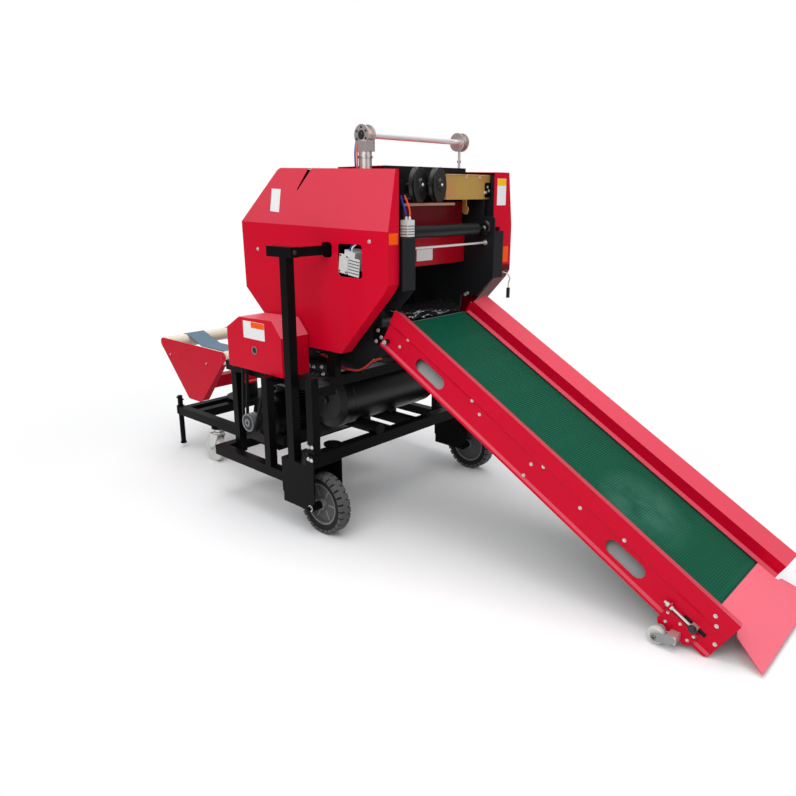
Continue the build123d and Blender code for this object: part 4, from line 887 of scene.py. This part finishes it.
# Pale liners close the lightening slots from inside the beams, a dark one the slot at the tail.
linerValues = {"slots": (268.0, 1249.0), "half": 88.0, "outer": (293.0, -152.0), "inner": (236.0, -94.0), "thick": 1.2}
backingValues = {"corners": ((1478, -138), (1592, -138), (1592, -90), (1478, -90)), "out": 291, "thick": 1.5}
for side, sign in nearAndFar:
    (y0, n0), (y1, n1), half = linerValues["outer"], linerValues["inner"], linerValues["half"]
    outlines = [[onSlope(middle + reach, sign * y, n) for reach, y, n in (
        (-half, y0, n0), (half, y0, n0), (half, y1, n1), (-half, y1, n1))] for middle in linerValues["slots"]]
    flatPiece("slotLiner" + side, "palePlate", "conveyor",
              *((outline, (0, sign * linerValues["thick"], 0)) for outline in outlines))
    outline = [onSlope(s, sign * backingValues["out"], n) for s, n in backingValues["corners"]]
    flatPiece("slotBacking" + side, "blackSatin", "conveyor", (outline, (0, sign * backingValues["thick"], 0)))
print("stage: conveyor")


# Crinkled film over the sill between the mouth and the belt
filmValues = {"from": -96.0, "to": -21.0, "half": 206.0, "level": -87.6, "waves": 7.0, "seed": 7, "across": 110,
              "down": 22, "ragged": 5.0, "lift": 0.8}


def makeSillFilm(values):
    across, down, seed, half = values["across"], values["down"], values["seed"], values["half"]
    work = bmesh.new()
    rows = []
    for i in range(down + 1):
        s = values["from"] + (values["to"] - values["from"]) * i / down
        row = []
        for j in range(across + 1):
            y = half * (2 * j / across - 1)
            ragged = values["ragged"] * noise.noise(Vector((y / 36.0, seed, i * 0.2))) * (i in (0, down))
            spot = Vector((s / 24.0, y / 60.0, seed))
            crease = abs(noise.noise(spot)) + 0.5 * abs(noise.noise(spot * 2.1))
            lift = values["lift"] + values["waves"] * crease * min(1.0, 4 * i / down, 4 * (down - i) / down + 0.2)
            row.append(work.verts.new(onSlope(s + ragged, y, values["level"] + lift)))
        rows.append(row)
    for upper, lower in zip(rows, rows[1:]):
        for j in range(across):
            work.faces.new((upper[j], upper[j + 1], lower[j + 1], lower[j]))
    piece = addPiece("sillFilm", meshOf("sillFilm", work), "clearFilm", "root", 80)


makeSillFilm(filmValues)

# Plates, and stickers that are all blank: finish, centre, right, up, width, height, thickness, corner radius
plateValues = {
    "frontSticker": ("orangeSticker", (262.2, -362.5, 1234), farAim, upAim, 50, 42, 0.4, 2),
    "guardSticker": ("whiteSticker", (-394, -545.2, 829), frontAim, upAim, 150, 76, 0.4, 2),
    "guardStickerHead": ("orangeSticker", (-366, -545.7, 853), frontAim, upAim, 92, 25, 0.4, 2),
    "farSticker": ("whiteSticker", (262.2, 335, 1404), farAim, upAim, 66, 112, 0.4, 2),
    "farStickerHead": ("yellowSticker", (262.7, 335, 1445), farAim, upAim, 64, 28, 0.4, 2),
    "farLowSticker": ("orangeSticker", (262.2, 380, 1134), farAim, upAim, 44, 70, 0.4, 2),
    "panelSticker": ("whiteSticker", (121.2, -15, 1147), farAim, upAim, 104, 48, 0.4, 2),
    "earPlate": ("blackGloss", (106, -266.1, 828), frontAim, upAim, 96, 78, 2.6, 18),
    "trayClamp": ("blackGloss", (226.1, 276, 1412), farAim, upAim, 36, 62, 4, 8),
    "panelEdge": ("beigeSteel", (186.5, -76, 1356), farAim, upAim, 352, 10, 2, 1.5),
    # A black sheet inside the far cover is painted shade, standing for the dark seen there.
    "farShadeSheet": ("blackSatin", (229, 301, 1370), frontAim, upAim, 60, 206, 1.5, 2),
    "motorTerminalBox": ("blackGloss", (-480, -300, 488), frontAim, farAim, 84, 96, 40, 8),
    "valveBlock": ("blackSatin", (-307, -292, 620), frontAim, upAim, 182, 86, -52, 8),
    # Seals over the split between the chamber's walls and the tailgate
    "splitSealNear": ("blackRubber", (-186, -266.3, 980), frontAim, upAim, 26, 416, 1.6, 3),
    "splitSealFar": ("blackRubber", (-186, 266.3, 980), backAim, upAim, 26, 416, 1.6, 3),
}
for name, row in plateValues.items():
    platePiece(name, *row)

# Pieces with an outline of their own: finish, body, corners, depth
outlineValues = {
    "coverSticker": ("whiteSticker", "root", ((-452, -365.1, 1420), (-391, -365.5, 1417), (-387, -383.4, 1322),
                                              (-448, -382.6, 1326)), (0, -0.4, 0.1)),
    "hosePlate": ("blackSatin", "root", ((62, -262, 806), (126, -262, 790), (150, -262, 766), (150, -262, 716),
                                         (62, -262, 716)), (0, 3, 0)),
    # The cradle's side walls are folded inward along their front edge.
    "cradleFoldNear": ("redGloss", "cradle_body", ((-981, -341, 551), (-1178, -341, 315), (-1181, -341, 318),
                                                   (-984, -341, 554)), (0, 44, 0)),
    "cradleFoldFar": ("redGloss", "cradle_body", ((-981, 341, 551), (-1178, 341, 315), (-1181, 341, 318),
                                                  (-984, 341, 554)), (0, -44, 0)),
}
for name, (label, body, corners, depth) in outlineValues.items():
    flatPiece(name, label, body, (places(corners), depth))

# Bolts: finish, body, head radius, head height and washer radius, sides, aim, whether the other side has them too,
# and their places
boltValues = {
    "casterNuts": ("zincPlate", "conveyor", (7, 4, 8.5), 6, nearAim, True, ((1384, -348.5, 30),)),
    "coverBolts": ("zincPlate", "root", (6, 4.5, 8), 16, nearAim, False, ((-538, -392, 1161), (164, -392, 1222))),
    "farCoverBolts": ("zincPlate", "root", (6, 4.5, 8), 16, farAim, False,
                      ((-538, 422, 1161), (164, 422, 1222), (-330, 422, 830))),
    "cradleBolts": ("zincPlate", "cradle_body", (4.5, 4, 5), 12, nearAim, True,
                    ((-1457, -345, 534), (-1100, -345, 537))),
    "cradleWashers": ("redGloss", "cradle_body", (9.5, 1.6, 12), 20, nearAim, True,
                      ((-1457, -345, 534), (-1100, -345, 537))),
    "footBolts": ("zincPlate", "root", (6, 5, 8.5), 6, nearAim, False,
                  ((-9, -586, 400), (13, -586, 403), (-2, -594, 352), (17, -594, 350))),
    "farFootBolts": ("zincPlate", "root", (6, 5, 8.5), 6, farAim, False,
                     ((-9, 586, 400), (13, 586, 403), (-2, 594, 352), (17, 594, 350))),
    "gripBolt": ("darkSteel", "root", (7, 3, 9.5), 6, frontAim, False, ((-62, -574, 1180),)),
    "railBolts": ("darkSteel", "root", (6, 4.5, 9), 6, nearAim, True,
                  ((-30, -501, 640), (-30, -501, 616), (-626, -501, 633))),
    "rodEnds": ("zincPlate", "root", (9, 5, 12), 6, nearAim, False, ((236, 259.9, 1190),)),
    "earBolts": ("zincPlate", "root", (6.5, 6, 9), 6, nearAim, False,
                 ((76, -268.8, 806), (105, -268.8, 826), (140, -268.8, 838), (88, -268.8, 853))),
    "farEarBolts": ("zincPlate", "root", (6.5, 6, 9), 6, farAim, False,
                    ((76, 266, 806), (105, 266, 826), (140, 266, 838), (88, 266, 853))),
    "wallBolts": ("zincPlate", "root", (5.5, 4, 8), 6, nearAim, False, ((147, 259.9, 960), (133, 259.9, 952))),
    "pivotNuts": ("zincPlate", "root", (8.5, 5, 9.8), 6, nearAim, True, ((168.98, -317, 820.6),)),
    "trayBolts": ("zincPlate", "root", (7, 6, 9), 6, frontAim, False,
                  ((226, 273, 1424), (226, 283, 1408), (226, 262, 1402))),
    "columnHeadNuts": ("darkSteel", "root", (12, 6, 17), 6, nearAim, True, ((53, -317, 1616),)),
    "valveScrews": ("zincPlate", "root", (6.5, 7, 9), 6, nearAim, False,
                    ((-330, -292, 640), (-300, -292, 640), (-246, -292, 648), (-236, -292, 616))),
    "cheekNuts": ("darkSteel", "conveyor", (5.5, 3, 7.5), 6, nearAim, True, ((1384, -350.9, 30),)),
}
for name, (label, body, size, sides, aim, mirrored, spots) in boltValues.items():
    points = [(spot, aim) for spot in places(spots)]
    boltPiece(name, label, body, bothSides(points) if mirrored else points, size, sides)

# Turned pieces: finish, body, then forms of a profile (radius and distance along the axis), centre, axis and sides
guardWindow, motorShaft, tankEnd = (-395, -545, 742), (-480, -544, 392), (-215, -300, 500)
beadProfile, hookProfile = ((129.5, -3), (131.6, -1.2), (131.6, 1.2), (129.5, 3)), ((5.5, -7), (5.5, 7))
portProfile = ((8, 0), (8, 8), (6, 10), (6, 18), (0, 18))
fittingProfile = ((6, 0), (6, 7), (4.4, 9), (4.4, 13), (0, 13))
lowRing, highRing = ((0, 0), (0, 14), (-2, 16)), ((0, 0), (0, 9), (-2, 11))
turnedValues = {
    # Belt guard: round window with a grey ring
    "guardRing": ("castIron", "root", (((18, 0), (18, 2.4), (17, 3.2), (14.5, 3.2), (13.5, 1.4)), guardWindow, nearAim,
                                       36)),
    "guardPlug": ("rollerBlack", "root", (((13.3, 0.2), (13.3, 1.8), (6, 2.6), (0, 2.6)), guardWindow, nearAim, 30)),
    "trayHooks": ("beigeSteel", "root", *((hookProfile, (226, y, 1462), frontAim, 12) for y in (122, 215))),
    "mouthFittings": ("zincPlate", "root", *((fittingProfile, (x, y, 1302), upAim, 16)
                                             for x, y in ((262, -290), (272, -282)))),
    # Lift columns: rings at both ends of the barrel and of the thinner far one
    "columnRings": ("turnedSteel", "root", *(([(radius + less, along) for less, along in ring], (53, y, z), upAim, 32)
                                             for y, radius in ((-297, 29.0), (297, 9.0))
                                             for ring, z in ((lowRing, 1388), (highRing, 1530)))),
    "motorFanCover": ("blackGloss", "root", (((104, 0), (104, 40), (96, 46), (0, 46)), (-480, -190, 392), farAim, 40)),
    # Drive pulley: hub, bore and ring on its outer face
    "pulleyHub": ("castIron", "motor_pulley_body", (((41, 0), (41, 1.8), (36, 1.8), (34, 0)), motorShaft, nearAim, 40),
                  (((19, 0), (18, 5), (10, 5), (9, 2)), motorShaft, nearAim, 30)),
    "pulleyBore": ("darkSteel", "motor_pulley_body", (((9.5, 0), (9.5, 3), (0, 3)), motorShaft, nearAim, 20),
                   (((33, 0), (33, 0.5), (20, 0.5)), motorShaft, nearAim, 36)),
    "valvePorts": ("darkSteel", "root", *((portProfile, (x, -292, 614), nearAim, 6) for x in (-316, -286, -262))),
    # Air tank: weld beads, end fitting and a drain
    "tankTrim": ("tankGloss", "root", *((beadProfile, (-215, y, 500), farAim, 56) for y in (-236, 266)),
                 (((17, 0), (17, 9), (12, 11), (0, 11)), tankEnd, nearAim, 6),
                 (((12, 0), (12, 14), (0, 14)), (-215, 0, 370.4), downAim, 6)),
    # The jack's pin and its foot
    "jackPin": ("blackGloss", "jack_body", (((5, -32), (5, 32)), (-1401, -345, 288), frontAim, 14),
                (((17, 0), (17, 8)), (-1401, -345, 24.5), upAim, 24)),
}
for name, row in turnedValues.items():
    roundPiece(name, *row)

# Bearings of the feed roller: a round housing with a shaft nut, from centre, axis, radius and depth
bearingValues = {"feedBearingFar": ((236, 259.9, 1254), nearAim, 33, 16),
                 "feedBearingNearOut": ((232, -278.2, 1252), nearAim, 24, 10),
                 "feedBearingFarOut": ((232, 278.2, 1252), farAim, 24, 10)}
for name, (centre, axis, radius, depth) in bearingValues.items():
    profile = [(radius, 0), (radius, depth * 0.55), (radius * 0.8, depth), (radius * 0.42, depth),
               (radius * 0.36, depth * 0.7), (0, depth * 0.7)]
    roundPiece(name, "pulleyBlack", "root", (profile, centre, axis, 32))
    nutPlace = place(*centre) + Vector(axis) * (depth * 0.7 / 1000)
    boltPiece(name + "Nut", "zincPlate", "root", [(nutPlace, axis)], (radius * 0.22, 4, radius * 0.30))

# Feed roller: its tube ends short of the far wall, where a thinner shaft goes on to the bearing.
rollerValues = {"centre": (232.05, 0, 1252.0), "radius": 25.0, "tube": (-256.0, 196.0), "shaft": 9.0, "end": 278.0,
                "collar": (14.0, 9.0), "sides": 36}


def makeFeedRoller(values):
    radius, (start, end), shaft, (collar, long) = (values[key] for key in ("radius", "tube", "shaft", "collar"))
    profile = [(shaft, -values["end"]), (shaft, start), (radius - 2, start), (radius, start + 2), (radius, end - 3),
               (radius - 3, end), (collar, end), (collar, end + long), (shaft, end + long), (shaft, values["end"])]
    roller = roundPiece("feedRollerTube", "rollerBlack", "feed_roller_body",
                        (profile, values["centre"], farAim, values["sides"]))
    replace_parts(roller, "feed_roller")


makeFeedRoller(rollerValues)
print("stage: covers, frame and bearings")

# Guide pulleys: a bright nut on each pin, which is turned out of the machine's length
pulleyNutValues = {"turn": 17, "pins": ((192, -217, 1431), (192, -99, 1431)), "reach": 69, "size": (7.0, 6.0, 7.9)}
pinTurn = math.radians(pulleyNutValues["turn"])
pinAim = Vector((math.cos(pinTurn), math.sin(pinTurn), 0))
boltPiece("pulleyNuts", "zincPlate", "root", [(pin + pinAim * (pulleyNutValues["reach"] / 1000), tuple(pinAim))
                                              for pin in places(pulleyNutValues["pins"])], pulleyNutValues["size"])

# Bent wire of the net tray, and air tubes at the lift column, the mouth cylinder and the one behind the window:
# finish, radius, points
tubeValues = {
    "trayWire": ("beigeSteel", 1.6, ((228, -4, 1471), (228, 60, 1473), (228, 116, 1474), (228, 122, 1462),
                                     (228, 128, 1474), (228, 180, 1473), (228, 209, 1472), (228, 215, 1462),
                                     (228, 221, 1472), (228, 262, 1470))),
    "columnTubeBlue": ("blueTube", 3.4, ((22, -314, 1392), (18, -318, 1440), (24, -322, 1500), (16, -318, 1560),
                                         (26, -318, 1596))),
    "columnTubeOrange": ("orangeTube", 3.4, ((36, -322, 1392), (34, -326, 1450), (40, -327, 1510), (34, -324, 1560),
                                             (40, -320, 1590))),
    "mouthTubeBlue": ("blueTube", 3.4, ((262, -290, 1302), (262, -292, 1330), (252, -300, 1360), (246, -304, 1392))),
    "mouthTubeOrange": ("orangeTube", 3.4, ((272, -282, 1302), (274, -280, 1326), (264, -282, 1362),
                                            (250, -288, 1392))),
    "windowTubeBlue": ("blueTube", 3.4, ((38, -372, 1180), (42, -378, 1192), (56, -378, 1204), (66, -370, 1216))),
    "windowTubePale": ("whiteSticker", 3.4, ((50, -374, 1180), (54, -380, 1190), (66, -380, 1200),
                                             (78, -372, 1212))),
}
for name, (label, radius, points) in tubeValues.items():
    pipePiece(name, label, "root", places(points), radius)

# Compact cylinders: body grooves at the mouth; cap, grooves and screws behind the cover's window
grooveValues = {"levels": (1249, 1259, 1269, 1280), "high": 2.6, "corner": 0.6, "out": 0.6,
                "front": (283.1, -286.2, 37), "side": (264.5, -306.1, 34)}
windowValues = {"centre": (42, -386.2, 1122), "tilt": 7, "head": (-28, 4), "barrel": (31, 0),
                "cap": (("head", 50, 76, 5, 4.2), ("barrel", 62, 70, 4, 3.0), ("head", 24, 30, 11, 5.2)),
                "grooves": 5, "groovePitch": 12, "groove": (60, 3.2, 1, 3.4), "screws": (19, 31, 3.8)}


def makeCylinderTrim(groove, window):
    forms = []
    for z in groove["levels"]:
        for (x, y, wide), right, out in ((groove["front"], farAim, frontAim), (groove["side"], frontAim, nearAim)):
            outline = rounded(place(x, y, z), right, upAim, wide, groove["high"], groove["corner"])
            forms.append((outline, Vector(out) * groove["out"]))
    flatPiece("mouthGrooves", "blackSatin", "root", *forms)
    tilt = math.radians(window["tilt"])
    right, up = Vector((math.cos(tilt), 0, -math.sin(tilt))), Vector((math.sin(tilt), 0, math.cos(tilt)))

    def onWindow(x, z):
        return place(*window["centre"]) + right * (x / 1000) + up * (z / 1000)

    def form(x, z, wide, high, corner, thick):
        return rounded(onWindow(x, z), right, up, wide, high, corner), (0, -thick, 0)

    flatPiece("windowCylinderCap", "castAluminium", "root",
              *(form(*window[key], *size) for key, *size in window["cap"]))
    middle = (window["grooves"] - 1) / 2
    flatPiece("windowCylinderGrooves", "darkSteel", "root", *(
        form(window["barrel"][0], (k - middle) * window["groovePitch"], *window["groove"])
        for k in range(window["grooves"])))
    (x0, z0), (x, z, out) = window["head"], window["screws"]
    points = [(onWindow(x0 + sx * x, z0 + sz * z) + Vector((0, -out / 1000, 0)), nearAim)
              for sx in (-1, 1) for sz in (-1, 1)]
    boltPiece("windowCylinderScrews", "darkSteel", "root", points, (3.0, 2.0, 4.0))


makeCylinderTrim(grooveValues, windowValues)

# Tailgate: edge bands with bolts, a seam across the back and a pull handle. Angles go round the gate's centre.
gateValues = {"centre": (-185, 1090), "radius": 322.0, "edge": 238, "band": 22, "thick": 3.0, "from": 133, "to": 252,
              "steps": 40, "boltStart": 4, "boltStep": 15.5, "boltSize": (5.0, 3.5, 7.5), "seam": 176,
              "rivets": (-204, 205, 34), "rivetSize": (3.6, 2.0, 4.6), "handle": 205, "handleHalf": 78,
              "handleReach": 34, "handleRadius": 0.007, "footSize": (9.5, 3.0, 14.0)}


def makeGateTrim(v):
    x0, z0 = v["centre"]
    radius, rows = v["radius"], (-v["edge"], v["edge"])

    def outward(angle):
        turn = math.radians(angle)
        return (math.cos(turn), 0, math.sin(turn))

    def around(angle, reach, y):
        x, _, z = outward(angle)
        return place(x0 + reach * x, y, z0 + reach * z)

    def onGate(angle, y, lift=0.0):
        return around(angle, radius + lift, y), outward(angle)

    work = bmesh.new()
    for y in rows:
        rings = []
        for step in range(v["steps"] + 1):
            angle = v["from"] + (v["to"] - v["from"]) * step / v["steps"]
            rings.append([work.verts.new(around(angle, radius + lift, y + side * v["band"] / 2))
                          for lift, side in ((0, -1), (v["thick"], -1), (v["thick"], 1), (0, 1))])
        for low, high in zip(rings, rings[1:]):
            for k in range(4):
                work.faces.new((low[k], low[(k + 1) % 4], high[(k + 1) % 4], high[k]))
        work.faces.new(rings[0])
        work.faces.new(rings[-1][::-1])
    addPiece("gateBands", meshOf("gateBands", work), "blackSatin", "tailgate", 40)
    count = int((v["to"] - v["from"]) / v["boltStep"])
    angles = [v["from"] + v["boltStart"] + v["boltStep"] * step for step in range(count + 1)]
    bolts = [onGate(angle, y, v["thick"]) for y in rows for angle in angles if angle < v["to"] - 2]
    boltPiece("gateBolts", "zincPlate", "tailgate", bolts, v["boltSize"])
    rivets = [onGate(v["seam"], y) for y in range(*v["rivets"])]
    boltPiece("gateRivets", "darkSteel", "tailgate", rivets, v["rivetSize"], 10)
    half = [(1.0, 0.0), (1.0, 0.6), (0.94, 1.0), (0.7, 1.0)]
    bar = [(-wide, high) for wide, high in half] + half[::-1]
    spots = [around(v["handle"], radius + high * v["handleReach"], wide * v["handleHalf"]) for wide, high in bar]
    pipePiece("gateHandle", "darkSteel", "tailgate", spots, v["handleRadius"], 60)
    feet = [onGate(v["handle"], y) for y in (-v["handleHalf"], v["handleHalf"])]
    boltPiece("gateHandleFeet", "darkSteel", "tailgate", feet, v["footSize"], 20)


makeGateTrim(gateValues)

# Screws round the near lift column's head
headScrewValues = {"centre": (53, -317, 1616), "ring": 28, "count": 6, "size": (3.4, 2.5, 4.6)}
headX, headY, headZ = headScrewValues["centre"]
headAngles = [2 * math.pi * (k + 0.5) / headScrewValues["count"] for k in range(headScrewValues["count"])]
headSpots = [(headX + headScrewValues["ring"] * math.cos(a), headY, headZ + headScrewValues["ring"] * math.sin(a))
             for a in headAngles]
boltPiece("columnHeadScrews", "darkSteel", "root", [(spot, nearAim) for spot in places(headSpots)],
          headScrewValues["size"])

# Cooling fins of the motor, with none below
finValues = {"centre": (-480, -295, 392), "count": 40, "radius": 100, "size": (2.6, 196, 10), "lowest": 0.30}


def makeMotorFins(values):
    work = bmesh.new()
    work.from_mesh(barsAround("motorFins", "blackGloss", values["count"], values["centre"], values["radius"],
                              values["size"]))
    low = [face for face in work.faces if face.calc_center_median().z < values["lowest"]]
    bmesh.ops.delete(work, geom=low, context="FACES")
    addPiece("motorFins", meshOf("motorFins", work, False), "blackGloss", "root", 0)


makeMotorFins(finValues)

# Rear casters: swivel race, axle nuts and hub discs
casterValues = {"stem": (-1040, 340, 163), "axle": (-1080, 340, 75), "nutOut": 30.2, "hubOut": 20,
                "nut": (7.5, 4.5, 9.0), "race": ((27, 0), (30, 3), (30, 9), (26, 12), (23, 12)),
                "hub": ((24, 0), (24, 1.2), (20, 2.2), (9, 2.2)), "sides": 28}


def makeCasterTrim(side, sign, values):
    title, (stemX, stemY, stemZ), (x, y, z) = side.capitalize(), values["stem"], values["axle"]
    roundPiece("swivelRace" + title, "zincPlate", "rear_swivel_" + side,
               (values["race"], (stemX, sign * stemY, stemZ), upAim, values["sides"]))
    nuts = [(place(x, sign * y + end * values["nutOut"], z), (0, end, 0)) for end in (-1, 1)]
    boltPiece("swivelNuts" + title, "zincPlate", "rear_swivel_" + side, nuts, values["nut"])
    roundPiece("casterHub" + title, "zincPlate", "rear_wheel_" + side, *(
        (values["hub"], (x, sign * y + end * values["hubOut"], z), (0, end, 0), values["sides"]) for end in (-1, 1)))


for side, sign in leftAndRight:
    makeCasterTrim(side, sign, casterValues)

# Rounded cheeks on the conveyor's caster forks, from two circles: place along, height, radius
cheekValues = {"axle": (1384, 30, 14), "crown": (1433, 41, 17), "y": 349.1, "thick": 1.8, "steps": 14}


def makeCheeks(v):
    (xa, za, ra), (xb, zb, rb) = v["axle"], v["crown"]
    lean = math.atan2(zb - za, xb - xa)
    spread = math.acos((ra - rb) / math.hypot(xb - xa, zb - za))
    arcs = ((xb, zb, rb, -spread, spread), (xa, za, ra, spread, 2 * math.pi - spread))
    for side, sign in nearAndFar:
        outline = []
        for x, z, r, low, high in arcs:
            for step in range(v["steps"] + 1):
                turn = lean + low + (high - low) * step / v["steps"]
                outline.append(place(x + r * math.cos(turn), sign * v["y"], z + r * math.sin(turn)))
        flatPiece("forkCheek" + side, "palePlate", "conveyor", (outline, (0, sign * v["thick"], 0)), smooth=30)


makeCheeks(cheekValues)
print("stage: drive, tank and casters")
